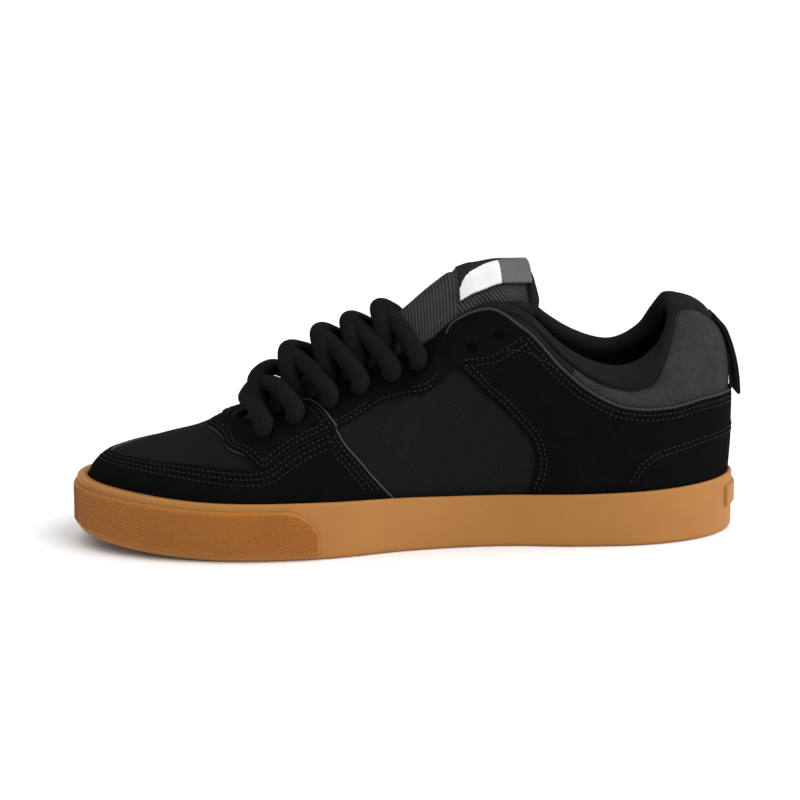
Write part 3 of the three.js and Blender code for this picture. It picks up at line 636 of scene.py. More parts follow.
def fibre():
    """Fine uneven fibres and broader shading: both from 0 to 1."""
    tree, given, made = new_group("fibre", {"Scale": 4000.0}, ["Fine", "Broad"])
    place = given["Vector"]
    fine = node(tree, "ShaderNodeTexNoise", {"Vector": place, "Scale": given["Scale"], "Detail": 3.0})
    broad_scale = result_of(tree, "MULTIPLY", given["Scale"], 0.05)
    broad = node(tree, "ShaderNodeTexNoise", {"Vector": place, "Scale": broad_scale, "Detail": 4.0})
    tree.links.new(fine.outputs[0], made["Fine"])
    tree.links.new(broad.outputs[0], made["Broad"])
    return tree


WEAVE = plain_weave()
ZIGZAG = zigzag_weave()
FIBRE = fibre()


def shader_of(name, roughness, specular):
    material = bpy.data.materials.new(name)
    material.use_nodes = True
    tree = material.node_tree
    shader = tree.nodes["Principled BSDF"]
    shader.inputs["Roughness"].default_value = roughness
    shader.inputs["Specular IOR Level"].default_value = specular
    return material, tree, shader


def effect(tree, group, place, **values):
    """The outputs of a shared node group at a place, with its own values."""
    made = node(tree, "ShaderNodeGroup", node_tree=group)
    tree.links.new(place, made.inputs["Vector"])
    for key, value in values.items():
        made.inputs[key.capitalize()].default_value = value
    return made.outputs


def fibres(tree, scale):
    return effect(tree, FIBRE, node(tree, "ShaderNodeTexCoord").outputs["Object"], scale=scale)


def colored(tree, shader, factor, color, dark, light):
    """Base colour that runs from a dark share to a light share of one colour."""
    mix = node(tree, "ShaderNodeMix", {"Factor": factor}, data_type="RGBA")
    mix.inputs["A"].default_value = (*(channel * dark for channel in color), 1)
    mix.inputs["B"].default_value = (*(channel * light for channel in color), 1)
    tree.links.new(mix.outputs["Result"], shader.inputs["Base Color"])


def bumped(tree, shader, height, distance):
    bump = node(tree, "ShaderNodeBump", {"Height": height, "Distance": distance, "Strength": 1.0})
    tree.links.new(bump.outputs[0], shader.inputs["Normal"])


def suede(name, color):
    """Black nap: fine fibres over broader, softer shading."""
    material, tree, shader = shader_of(name, 0.95, 0.02)
    nap = fibres(tree, 2600.0)
    shade = result_of(tree, "MULTIPLY_ADD", nap["Fine"], 0.7, result_of(tree, "MULTIPLY", nap["Broad"], 0.5))
    colored(tree, shader, shade, color, 0.25, 1.75)
    bumped(tree, shader, nap["Fine"], 0.0006)
    return material


def cloth(name, color, weave, pitch, depth, dark=0.35, **more):
    """Woven cloth in its own texture place: the threads stand out and the gaps are darker."""
    material, tree, shader = shader_of(name, 0.9, 0.03)
    place = node(tree, "ShaderNodeUVMap", uv_map="surface").outputs[0]
    threads = effect(tree, weave, place, pitch=pitch, **more)["Height"]
    fuzz = fibres(tree, 3000.0)
    uneven = result_of(tree, "MULTIPLY_ADD", fuzz["Broad"], 0.6, -0.3)
    weave_shade = result_of(tree, "MULTIPLY_ADD", threads, 0.8, uneven)
    fuzz_shade = result_of(tree, "MULTIPLY_ADD", fuzz["Fine"], 0.5, -0.15)
    colored(tree, shader, result_of(tree, "ADD", weave_shade, fuzz_shade), color, dark, 1.5)
    bumped(tree, shader, result_of(tree, "MULTIPLY_ADD", fuzz["Fine"], 0.35, threads), depth)
    return material


def rubber(name, color, roughness):
    material, tree, shader = shader_of(name, roughness, 0.2)
    grain = fibres(tree, 900.0)
    colored(tree, shader, grain["Broad"], color, 0.88, 1.12)
    bumped(tree, shader, grain["Fine"], 0.00012)
    return material


def plain(name, color, roughness, specular=0.2):
    material, _, shader = shader_of(name, roughness, specular)
    shader.inputs["Base Color"].default_value = (*color, 1)
    return material


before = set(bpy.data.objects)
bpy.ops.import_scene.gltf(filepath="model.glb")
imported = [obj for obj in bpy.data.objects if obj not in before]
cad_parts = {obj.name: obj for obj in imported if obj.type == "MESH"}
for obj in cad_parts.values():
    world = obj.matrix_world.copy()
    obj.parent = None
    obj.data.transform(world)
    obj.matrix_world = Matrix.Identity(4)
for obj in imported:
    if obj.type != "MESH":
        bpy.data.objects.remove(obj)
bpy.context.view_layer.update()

GUM = rubber("gum_rubber", (0.33, 0.142, 0.035), 0.55)
GUM_BUMPER = rubber("gum_rubber_bumper", (0.315, 0.115, 0.018), 0.5)
SUEDE = suede("suede", (0.0034, 0.0033, 0.0032))
# Pale cut edge: the suede's lighter cut edge plus a painted highlight where these edges face the key light
# from the heel
CUT_EDGE_AND_HIGHLIGHT = plain("suede_cut_edge_and_highlight", (0.05, 0.05, 0.048), 0.9, 0.1)
CUT_EDGE_DARK = plain("suede_cut_edge_dark", (0.012, 0.012, 0.011), 0.9, 0.1)
TEXTILE = cloth("side_textile", (0.0078, 0.0075, 0.0075), WEAVE, 0.0007, 0.0001, dark=0.6)
RIBBED = cloth("tongue_textile", (0.036, 0.034, 0.034), ZIGZAG, 0.0018, 0.0003, width=1.0, slant=0.0)
HERRINGBONE = cloth(
    "herringbone", (0.04, 0.0385, 0.04), ZIGZAG, 0.0015, 0.0005, dark=0.03, width=0.03, slant=1.3
)
PAD_CLOTH = cloth(
    "tongue_pad_textile", (0.044, 0.042, 0.041), ZIGZAG, 0.0015, 0.0005, dark=0.05, width=0.05, slant=0.4
)
ROLL_CLOTH = cloth("collar_roll_cloth", (0.0105, 0.01, 0.0095), WEAVE, 0.0006, 0.0001, dark=0.6)
LINING = cloth("lining", (0.011, 0.0105, 0.0105), WEAVE, 0.0012, 0.0002)
LACE_CLOTH = cloth("lace_weave", (0.0072, 0.007, 0.007), ZIGZAG, 0.0012, 0.00025, width=0.003, slant=1.0)
RIBBON = cloth("ribbon", (0.095, 0.095, 0.096), WEAVE, 0.0007, 0.0001, dark=0.7)
LABEL_WHITE = cloth("label_white", (0.6, 0.6, 0.6), WEAVE, 0.0006, 0.00006, dark=0.85)
LABEL_GROUND = cloth("label_ground", (0.02, 0.019, 0.019), WEAVE, 0.0012, 0.0002, dark=0.2)
WEBBING = cloth("pull_tab_webbing", (0.021, 0.0225, 0.025), ZIGZAG, 0.0012, 0.0003, width=0.0025, slant=1.0)
PIPING = plain("collar_piping", (0.032, 0.031, 0.032), 0.8, 0.1)
THREAD = plain("thread", (0.021, 0.021, 0.021), 0.8, 0.1)
THREAD_DARK = plain("thread_dark", (0.016, 0.016, 0.016), 0.8, 0.1)


# Upper shell: textile outside, rolled collar, lining inside

ROWS_BELOW_ROLL = 36
ROWS_OF_ROLL = 12
CREST_TURNS = 12
ROWS_OF_LINING = 24
COLUMNS = 264
COLLAR_END = 6.75
HERRINGBONE_END = 4.95
PADDING_SWELL = 1.3
ROLL_SWELL = 0.9
SEAM_GROOVE = 0.9
roll_line = value_curve(ROLL)
suede_top = value_curve(SUEDE_TOP)


def medial_station(station):
    station = np.mod(station, LOOP)
    return np.where(station > STATIONS, LOOP - station, station)


def wall_at(station, up):
    return WALL + edge_round(station)[..., 7] * COLLAR_PADDING * smooth(0.12, 0.75, up)


def padding_swell(station, up):
    """How far the padded collar and its roll swell out beyond the skin, and the groove of their seam."""
    medial = medial_station(station)
    seam = roll_line(medial)
    low = suede_top(medial)
    below = np.clip((up - low) / np.maximum(seam - low, 0.02), 0, 1)
    above = np.clip((up - seam) / np.maximum(1 - seam, 0.02), 0, 1)
    swell = PADDING_SWELL * np.sin(np.pi * below) * (seam - low > 0.04) + ROLL_SWELL * np.sin(np.pi * above)
    groove = SEAM_GROOVE * np.exp(-(((up - seam) * SKIN_RISE) ** 2))
    return edge_round(station)[..., 7] * (swell - groove)


def upper_shell():
    """Up the outside, over the collar's crest, down the lining and closed along the sole."""
    station = np.linspace(0, LOOP, COLUMNS + 1)
    seam = roll_line(medial_station(station))
    low = np.linspace(0, 1, ROWS_BELOW_ROLL + 1)[:, None] * seam[None]
    high = seam[None] + np.linspace(0, 1, ROWS_OF_ROLL + 1)[1:, None] * (1 - seam)[None]
    ups = np.concatenate([low, high])
    around = np.broadcast_to(station, ups.shape)
    outer = off_skin(around, ups, BASE_SKIN + padding_swell(around, ups))
    inner_ups = np.repeat(np.linspace(1, 0, ROWS_OF_LINING + 1)[:, None], COLUMNS + 1, 1)
    inner_around = np.broadcast_to(station, inner_ups.shape)
    inner = off_skin(inner_around, inner_ups, BASE_SKIN - wall_at(inner_around, inner_ups))
    _, climb, _, normal = skin_frame(station, np.ones_like(station))
    way_up = unit(climb)
    centre = (outer[-1] + inner[0]) / 2
    radius = np.linalg.norm(outer[-1] - inner[0], axis=-1)[:, None] / 2
    turns = np.linspace(0, np.pi, CREST_TURNS + 1)[1:-1]
    crest = np.stack([
        centre + normal * radius * math.cos(turn) + way_up * radius * math.sin(turn) for turn in turns
    ])
    points = np.concatenate([outer, crest, inner, outer[:1]])

    middle = medial_station((station[:-1] + station[1:]) / 2)[None]
    collar = middle < COLLAR_END
    rows = np.arange(len(points) - 1)[:, None]
    lining_start = len(outer) + CREST_TURNS
    rolled = (rows >= ROWS_BELOW_ROLL) & (rows < lining_start)
    middle_up = (ups[:-1] + ups[1:])[:, :-1] / 2
    padded = np.zeros((len(points) - 1, COLUMNS), bool)
    padded[: len(ups) - 1] = middle_up > suede_top(medial_station(station[:-1]))[None] - 0.05
    textile, herringbone, roll, lining = range(4)
    zones = np.full(padded.shape, textile)
    zones[padded & collar] = roll
    zones[padded & (middle < HERRINGBONE_END)] = herringbone
    zones[rolled & collar] = roll
    zones[rolled & ~collar] = textile
    zones[lining_start:] = lining

    uv = np.zeros(points.shape[:2] + (2,))
    uv[: len(outer)] = skin_uv(around, ups)
    edge = uv[len(outer) - 1]
    crest_run = turns[:, None] * radius[:, 0] * MM
    crest_uv = np.stack([np.broadcast_to(edge[:, 0], crest_run.shape), edge[:, 1] + crest_run], -1)
    uv[len(outer) : len(outer) + len(crest)] = crest_uv
    uv[len(outer) + len(crest) : -1] = skin_uv(inner_around, inner_ups)
    shell = grid_object("upper_shell", points, [TEXTILE, HERRINGBONE, ROLL_CLOTH, LINING], zones, uv)
    pierce(shell)
    return shell


PIERCE_RADIUS = 2.7
PIERCE_DEPTH = 1.7
PIERCE_REACH = 6


def pierce(shell):
    """Opens the shell at each eyelet."""
    bm = bmesh.new()
    bm.from_mesh(shell.data)
    cut = set()
    for station, up in EYELET_PLACES:
        point, _, _, normal = skin_frame(np.array(station), np.array(up))
        centre = Vector((point - normal * PIERCE_DEPTH) * MM)
        axis = Vector(normal)
        for face in bm.faces:
            away = face.calc_center_median() - centre
            aside = away - axis * away.dot(axis)
            if away.length < PIERCE_REACH * MM and aside.length < PIERCE_RADIUS * MM:
                cut.add(face)
    bmesh.ops.delete(bm, geom=list(cut), context="FACES")
    bm.to_mesh(shell.data)
    bm.free()


def eyelet_liners():
    """The wall of each punched hole, with a flange on the lining."""
    back = BASE_SKIN - WALL
    profile = [
        (HOLE, SUEDE_OVER - 0.1), (HOLE, 0), (HOLE, back),
        (HOLE + 0.3, back - 0.5), (HOLE + 1.8, back - 0.4), (HOLE + 2.4, back + 0.3),
    ]
    turn = np.linspace(0, 2 * np.pi, HOLE_SIDES + 1)
    liners = []
    for i, (station, up) in enumerate(EYELET_PLACES):
        point, _, _, normal, around = circle_at(station, up, turn)
        rings = np.stack([point + normal * height + radius * around for radius, height in profile])
        liners.append(grid_object(f"eyelet_liner_{i}", rings, [CUT_EDGE_DARK], outward=False))
    return liners


# Sole: sidewall and cup, toe bumper, heel plate and tread

SOLE_COLUMNS = 360
FOOT_ROUND = 2.5
RIM_ROUND = 1.2
TREAD_DEPTH = 1.2
TREAD_BORDER = (4.5, 4.1)


def ring_at(station, inward, height):
    flat = outline(station, inward)
    return np.concatenate([flat, height(flat[:, 0])[:, None]], -1)


def to_spine(ring, share, height):
    """A ring drawn in towards the shoe's spine, at a new height."""
    spine = np.zeros_like(ring)
    spine[:, 0] = np.clip(ring[:, 0], SPINE_HEEL, SPINE_TOE + 30)
    drawn = ring * (1 - share) + spine * share
    drawn[:, 2] = height(drawn[:, 0])
    return drawn


def tread_at(x):
    return ground_at(x) + TREAD_DEPTH


def sole():
    """Tread face, rounded foot, sidewall, rounded rim, cup wall and cup floor in one closed sheet."""
    station = np.linspace(0, LOOP, SOLE_COLUMNS + 1)
    rows = []
    for turn in np.linspace(0, math.pi / 2, 6):
        rise = FOOT_ROUND * (1 - math.cos(turn))
        rows.append(ring_at(station, FOOT_ROUND * (1 - math.sin(turn)), lambda x: ground_at(x) + rise))
    for share in np.linspace(0, 1, 14)[1:]:
        flat = outline(station, 0)
        low = ground_at(flat[:, 0]) + FOOT_ROUND
        height = low + (rim_at(flat[:, 0]) - RIM_ROUND - low) * share
        rows.append(np.concatenate([flat, height[:, None]], -1))
    for turn in np.linspace(0, math.pi / 2, 6)[1:]:
        fall = RIM_ROUND * (1 - math.sin(turn))
        rows.append(ring_at(station, RIM_ROUND * (1 - math.cos(turn)), lambda x: rim_at(x) - fall))
    ups = np.linspace(0, 0.5, 61)
    wall = off_skin(station[None], ups[:, None], SUEDE_OVER + CLEARANCE)
    top = rim_at(rows[-1][:, 0]) - 0.3
    foot_up = np.array([np.interp(top[i], wall[:, i, 2], ups) for i in range(len(station))])
    for share in (1, 0.6, 0.25, 0):
        rows.append(off_skin(station, foot_up * share, SUEDE_OVER + CLEARANCE))
    floor_ring = to_spine(rows[-1], 0, floor_at)
    rows += [to_spine(floor_ring, share, floor_at) for share in (0, 0.4, 0.75, 1)]
    under = [to_spine(rows[0], share, tread_at) for share in (1, 0.7, 0.35)]
    under.append(ring_at(station, FOOT_ROUND + TREAD_BORDER[0], tread_at))
    under.append(ring_at(station, FOOT_ROUND + TREAD_BORDER[1], ground_at))
    return grid_object("sole", np.stack(under + rows), [GUM])


STEP_RUN = np.array([0, 0.12, 0.35, 0.75, 1.2])
STEP_LIFT = np.array([-0.35, 0.45, 0.78, 0.95, 1.0])
PATCH_ROWS = 9
PATCH_MARGIN = 2.0


def raised_patch(name, station, lows, highs, step, end_run, materials):
    """A moulded patch on the sidewall that stands out by a step, with a rounded edge all round."""
    heights = []
    lifts = []
    for low, high, run in zip(lows, highs, end_run):
        middle = np.linspace(low + PATCH_MARGIN, high - PATCH_MARGIN, PATCH_ROWS)
        heights.append(np.concatenate([low + STEP_RUN, middle, (high - STEP_RUN)[::-1]]))
        full = np.concatenate([STEP_LIFT, np.ones(PATCH_ROWS), STEP_LIFT[::-1]])
        lifts.append(np.minimum(full, np.interp(run, STEP_RUN, STEP_LIFT)))
    heights = np.array(heights).T
    flat = outline(np.broadcast_to(station, heights.shape), -step * np.array(lifts).T)
    points = np.concatenate([flat, heights[..., None]], -1)
    patch = grid_object(name, points, materials, outward=False)
    face_out(patch, Vector((0, 0, 0.02)))
    return patch


def face_out(made, centre):
    """Turns a sheet's faces away from a point inside the shoe."""
    total = sum(face.normal.dot(face.center - centre) for face in made.data.polygons)
    if total < 0:
        made.data.flip_normals()


BUMPER_STEP = 1.4
BUMPER_LOW = 2.9
BUMPER_MARGIN = 3.0
BUMPER_REAR = 42.0
BUMPER_CORNER = 17.0
BUMPER_LEAST = 4.2


def bumper_top(x):
    top = rim_at(x) - BUMPER_MARGIN
    corner = np.clip(BUMPER_REAR + BUMPER_CORNER - x, 0, BUMPER_CORNER)
    return top - BUMPER_CORNER + np.sqrt(np.maximum(BUMPER_CORNER**2 - corner**2, 0))


def station_of(x):
    return STATIONS / math.pi * np.arccos(-np.asarray(x) * 2 / SOLE_LENGTH)


def toe_bumper():
    near = np.array([*STEP_RUN, 2, 3, 4.5, 6, 8, 10, 12, 14.5, 17])
    start = station_of(BUMPER_REAR + near)
    middle = np.linspace(start[-1], LOOP - start[-1], 190)[1:-1]
    station = np.concatenate([start, middle, (LOOP - start)[::-1]])
    end_run = np.concatenate([near, np.full(len(middle), near[-1]), near[::-1]])
    x = outline(station, 0)[:, 0]
    low = ground_at(x) + BUMPER_LOW
    high = np.maximum(bumper_top(x), low + BUMPER_LEAST)
    return raised_patch("toe_bumper", station, low, high, BUMPER_STEP, end_run, [GUM_BUMPER])


PLATE_HALF = 15.0
PLATE_LOW = 12.0
PLATE_HIGH = 22.0
PLATE_STEP = 1.4


def heel_plate():
    middle = np.linspace(-PLATE_HALF + 3, PLATE_HALF - 3, 15)
    run = np.concatenate([-PLATE_HALF + STEP_RUN, middle, (PLATE_HALF - STEP_RUN)[::-1]])
    station = np.interp(run, run_lengths, run_stations)
    low = np.full(len(run), PLATE_LOW)
    high = np.full(len(run), PLATE_HIGH)
    return raised_patch("heel_plate", station, low, high, PLATE_STEP, PLATE_HALF - np.abs(run), [GUM])


def copies(name, template, faces, centres, axes, materials, smooth_faces=True):
    """One mesh of many small copies: each has a centre and three axes that carry its size."""
    count = len(centres)
    points = centres[:, None] + np.einsum("vk,nkc->nvc", template, axes)
    index = [[i + n * len(template) for i in face] for n in range(count) for face in faces]
    mesh = bpy.data.meshes.new(name)
    mesh.from_pydata((points.reshape(-1, 3) * MM).tolist(), [], index)
    mesh.polygons.foreach_set("use_smooth", np.full(len(mesh.polygons), smooth_faces))
    return new_object(name, mesh, materials)


def small_shape(kind, **sizes):
    """Points and faces of a small bmesh primitive."""
    bm = bmesh.new()
    getattr(bmesh.ops, kind)(bm, **sizes)
    bm.verts.index_update()
    points = np.array([v.co[:] for v in bm.verts])
    faces = [[v.index for v in face.verts] for face in bm.faces]
    bm.free()
    return points, faces


LATTICE = 1.15
LATTICE_MARGIN = 1.3
LATTICE_FOOT = 1.2
LATTICE_REAR = 1.6
LATTICE_STUD = (0.5, 0.5, 0.45)


def bumper_lattice():
    """Small four-sided studs in diagonal rows over the toe bumper."""
    rear = station_of(BUMPER_REAR)
    first, last = np.interp([rear, LOOP - rear], run_stations, run_lengths)
    across = LATTICE * math.sqrt(2)
    runs = np.arange(first, last, across)
    spots = []
    for row, z in enumerate(np.arange(2, SIDEWALL_HEIGHT * 1.3, across / 2)):
        spots += [(run + (row % 2) * across / 2, z) for run in runs]
    spots = np.array(spots)
    station = np.interp(spots[:, 0], run_lengths, run_stations)
    x = outline(station, 0)[:, 0]
    high = bumper_top(x) - LATTICE_MARGIN
    low = ground_at(x) + BUMPER_LOW + LATTICE_FOOT
    keep = (spots[:, 1] < high) & (spots[:, 1] > low) & (x > BUMPER_REAR + LATTICE_REAR)
    station, z = station[keep], spots[keep, 1]
    flat = outline(station, -BUMPER_STEP)
    out = unit(flat - outline(station, 0))
    out = np.concatenate([out, np.zeros((len(out), 1))], -1)
    along = np.stack([-out[:, 1], out[:, 0], out[:, 0] * 0], -1)
    up = np.broadcast_to([0, 0, 1.0], out.shape)
    axes = np.stack([way * size for way, size in zip((along, up, out), LATTICE_STUD)], 1)
    template, faces = small_shape("create_cone", segments=4, radius1=1, radius2=0.35, depth=2)
    centres = np.concatenate([flat, z[:, None]], -1)
    return copies("bumper_lattice", template, faces, centres, axes, [GUM_BUMPER], False)


TREAD_PITCH = 7.2
TREAD_STUD = (2.9, 2.9, -0.75)
TREAD_RISE = 0.77
TREAD_MARGIN = 8
GROOVES = (-126, -108, 27, 42, 57, 72)
GROOVE_HALF = 3.2


def tread():
    """Six-sided studs under the sole, between the flex grooves."""
    x, y = np.meshgrid(np.arange(-150, 150, TREAD_PITCH * 0.87), np.arange(-60, 60, TREAD_PITCH))
    y[:, 1::2] += TREAD_PITCH / 2
    spots = np.stack([x.ravel(), y.ravel()], -1)
    border = outline(np.linspace(0, LOOP, 400, endpoint=False), FOOT_ROUND + TREAD_MARGIN)
    spots = spots[inside_line(spots, border)]
    spots = spots[np.min(np.abs(spots[:, :1] - np.array(GROOVES)), 1) > GROOVE_HALF]
    template, faces = small_shape("create_cone", segments=6, radius1=1, radius2=0.86, depth=2)
    axes = np.broadcast_to(np.diag(TREAD_STUD), (len(spots), 3, 3))
    centres = np.concatenate([spots, (ground_at(spots[:, 0]) + TREAD_RISE)[:, None]], -1)
    made = copies("tread_studs", template, faces, centres, axes, [GUM], False)
    made.data.flip_normals()
    return made


# Insole

# From the middle of the underside, out to the edge and back over the top: share to the spine, height.
INSOLE_ROWS = ((1, 0), (0, 0), (0, 3), (0.02, 4), (0.06, 4.5), (0.2, 4.3), (0.5, 4), (1, 4))


def insole():
    station = np.linspace(0, LOOP, 181)
    low = off_skin(station, np.zeros_like(station), BASE_SKIN - WALL - CLEARANCE)
    spine = low.copy()
    spine[:, 0] = np.clip(low[:, 0], SPINE_HEEL, SPINE_TOE + 20)
    spine[:, 1] = 0
    rows = []
    for share, height in INSOLE_ROWS:
        level = low * (1 - share) + spine * share
        level[:, 2] = floor_at(level[:, 0]) + CLEARANCE + height
        rows.append(level)
    return grid_object("insole", np.stack(rows), [LINING])


# Tongue and its label

tongue_curve = curve_through(
    [-row[0] for row in TONGUE],
    [
        [height * COLLAR_HEIGHT, half * BALL_WIDTH, drop * COLLAR_HEIGHT, thick * TONGUE_THICKNESS, square]
        for _, height, half, drop, thick, square in TONGUE
    ],
)
TONGUE_FRONT = TONGUE[0][0] * SOLE_LENGTH
TONGUE_REAR = TONGUE[-1][0] * SOLE_LENGTH
TONGUE_COLUMNS = 49
PAD_START = -20.5
PAD_GROOVE = 1.2
TONGUE_ROUND = 2.6


def tongue_top(x, y):
    height, half, drop, _, square = np.moveaxis(tongue_curve(-np.asarray(x) / SOLE_LENGTH), -1, 0)
    return height - drop * np.minimum(np.abs(y) / half, 1) ** square


def tongue():
    """A tube of crowned sections with a rounded rear end: ribbed in front, padded behind a groove."""
    front = np.linspace(TONGUE_FRONT, PAD_START, 90, endpoint=False)
    rear = np.linspace(PAD_START, TONGUE_REAR, 60)
    x = np.concatenate([front, rear])
    height, half, drop, thick, square = np.moveaxis(tongue_curve(-x / SOLE_LENGTH), -1, 0)
    turns = np.sin(np.linspace(-1, 1, TONGUE_COLUMNS) * np.pi / 2)
    crown = np.abs(turns)[None] ** square[:, None]
    groove = np.exp(-(((x - PAD_START) / PAD_GROOVE) ** 2))

    def face(half, height, drop):
        z = height[:, None] - drop[:, None] * crown
        return np.stack([np.broadcast_to(x[:, None], z.shape), turns[None] * half[:, None], z], -1)

    top = face(half, height - groove - 0.1, drop)
    low = face(half - 0.5 * thick, height - thick, drop - 0.5 * thick)
    bulge = np.stack([0 * thick, 0.3 * thick, 0 * thick], -1)
    medial_edge = (top[:, -1] + low[:, -1]) / 2 + bulge
    lateral_edge = (top[:, 0] + low[:, 0]) / 2 - bulge
    section = np.concatenate(
        [top, medial_edge[:, None], low[:, ::-1], lateral_edge[:, None], top[:, :1]], 1
    )
    last = section[-1]
    level = (top[-1, :, 2] + low[-1, :, 2]) / 2
    middle = last.copy()
    middle[:TONGUE_COLUMNS, 2] = level
    middle[TONGUE_COLUMNS + 1 : 2 * TONGUE_COLUMNS + 1, 2] = level[::-1]
    middle[-1] = middle[0]
    caps = []
    for angle in np.linspace(0, math.pi / 2, 7)[1:]:
        ring = middle + (last - middle) * math.cos(angle)
        ring[:, 0] = last[:, 0] - TONGUE_ROUND * math.sin(angle)
        caps.append(ring)
    start = np.broadcast_to(section[0].mean(0), section[0].shape)
    points = np.concatenate([start[None], section, np.stack(caps)])
    centre = TONGUE_COLUMNS // 2
    run = run_along(points[:, centre])
    across = run_along(points[len(points) // 2])
    uv = np.stack(np.broadcast_arrays(across[None], run[:, None]), -1) * MM
    zones = np.zeros((len(points) - 1, points.shape[1] - 1), int)
    zones[points[:-1, centre, 0] < PAD_START] = 1
    return grid_object("tongue", points, [RIBBED, PAD_CLOTH], zones, uv)


BINDING_SIZE = (4.6, 5.2)
BINDING_SIDE = (-24, -30, -38, -46, -51)
BINDING_CORNER = [
    (-53.6, 22, 105), (-55.2, 21, 109.5), (-54.8, 19, 113.4), (-54.4, 14, 116.2), (-54.4, 7, 117.6),
    (-54.4, 0, 118),
]


def tongue_binding():
    """The rolled edge round the padded end of the tongue."""
    side = []
    for x in BINDING_SIDE:
        height, half, drop, thick, _ = tongue_curve(-x / SOLE_LENGTH)
        side.append((x, half - 0.3, height - drop - 0.1 * thick + 0.5))
    half_way = side + BINDING_CORNER
    places = half_way + [(x, -y, z) for x, y, z in half_way[-2::-1]]
    return tube("tongue_binding", places, [BINDING_SIZE] * len(places), [ROLL_CLOTH], sides=14)[0]


LABEL_REAR = -54.6
LABEL_FRONT = -22.4
LABEL_SPLIT = -41.0
LABEL_HALF = 19.4
LABEL_FALL = 0.78
LABEL_LEVEL = -45.0
LABEL_THICKNESS = 0.9
LABEL_CLEAR = 0.3
LABEL_RUN = 7.0
LABEL_EDGE = [
    (-56, -21), (-52, -20.5), (-46, -9), (-40.6, 0), (-35, 4), (-30.6, 8), (-27.5, 10), (-24.4, 12.5),
    (-22, 17),
]


def tongue_label():
    """A strip over the padded end, its rear held level. A grey and white face leaves part of it bare."""
    x = np.linspace(LABEL_FRONT, LABEL_REAR, 60)
    y = np.linspace(-LABEL_HALF, LABEL_HALF, 61)
    xx, yy = np.meshgrid(x, y, indexing="ij")
    under = np.maximum(xx, LABEL_LEVEL)
    crown = tongue_top(under, 0 * yy)
    z = crown - LABEL_FALL * (crown - tongue_top(under, yy))
    z += LABEL_CLEAR + smooth(0, LABEL_RUN, LABEL_FRONT - xx)
    top = np.stack([xx, yy, z], -1)
    low = np.stack([xx, yy, z - LABEL_THICKNESS], -1)
    section = np.concatenate([top, low[:, ::-1], top[:, :1]], 1)
    turned = np.concatenate([low, top[:, ::-1], low[:, :1]], 1)
    halfway = (section + turned) / 2
    points = np.concatenate([halfway[:1], section, halfway[-1:]])
    centre = (points[1:, 1:] + points[:-1, :-1]) / 2
    edge = np.interp(centre[..., 0], *np.array(LABEL_EDGE).T)
    grey, white, ground = range(3)
    face = np.where(centre[..., 0] > LABEL_SPLIT, white, grey)
    zones = np.where(centre[..., 1] < edge, ground, face)
    uv = np.stack([points[..., 0], points[..., 1]], -1) * MM
    return grid_object("tongue_label", points, [RIBBON, LABEL_WHITE, LABEL_GROUND], zones, uv)


# Heel pull tab

TAB_HALF = 10.0
TAB_TOP = 0.68
TAB_END = 0.29
TAB_CLEAR = 0.4
TAB_LOOSE = 1.6
TAB_SINK = 1.5
TAB_NEAR = 0.45
TAB_FAR = 1.4
TAB_EDGE = 0.42
TAB_SIDE = 0.2


def pull_tab():
    """A folded webbing tab down the back of the heel: sewn at its top, its lower end free."""
    def at(up, offset):
        point, _, _, normal = skin_frame(np.zeros_like(up), up)
        return point + normal * offset[:, None]

    ups = np.linspace(TAB_TOP, TAB_END, 22)
    free = 1 - smooth(TAB_END, 0.6, ups)
    under = TAB_CLEAR + TAB_LOOSE * free - TAB_SINK * smooth(0.58, TAB_TOP, ups)
    near = at(ups, under + TAB_NEAR)
    far = at(ups, under + TAB_FAR)
    turn = np.linspace(0, np.pi, 8)[1:-1, None]
    middle = (near[-1] + far[-1]) / 2
    down = unit(near[-1] - near[-2])
    out = unit(far[-1] - near[-1])
    radius = np.linalg.norm(far[-1] - near[-1]) / 2
    bend = middle + radius * (out * np.cos(turn) + down * np.sin(turn))
    path = np.concatenate([far, bend, near[::-1]])
    outward = unit(np.cross(unit(np.gradient(path, axis=0)), np.array([0, 1, 0])))
    quarter = [(TAB_HALF, TAB_SIDE), (TAB_HALF - 0.3, TAB_EDGE)]
    upper_half = [(-y, t) for y, t in quarter] + quarter[::-1]
    corners = [(-TAB_HALF, -TAB_SIDE)] + upper_half + [(y, -t) for y, t in upper_half[::-1]]
    section = np.stack([path + outward * t + np.array([0, y, 0]) for y, t in corners], 1)
    ends = np.broadcast_to(section.mean(1, keepdims=True), section.shape)
    points = np.concatenate([ends[:1], section, ends[-1:]])
    return grid_object("heel_pull_tab_webbing", points, [WEBBING])


# Lace: one oval cord through the eyelets, its two ends hidden inside the top laced pair

LACE_CLEARANCE = 1.3
INSIDE_DEPTH = 2.2
BORE_DEPTH = 1.0
END_DROP = 2.4
ABOVE_DROP = 0.4
LACE_LIFT = (7, 9.8, 13, 13.2, 10.5, 6.2)
LEG_BACK = (3.3, 4.2, 3.6, 2.8, 1)
CREST_SHARE = (0.38, 0.42, 0.35, 0.33, 0.18)
ARM_SLACK = (4.6, 2.4, 2.2, 2.2, 2.2)
BAR_SLACK = 1.8
CROSSING_RISE = 0.25
FULL_CORD = (LACE_WIDTH, LACE_THICKNESS * 1.08)
LEG_CORD = (9.5, 6.5)
FLAT_CORD = (7.0, 3.0)
NECK_CORD = (8.2, 6.2)
BORE_CORD = (4.4, 4.4)
END_CORD = (5.0, 4.0)


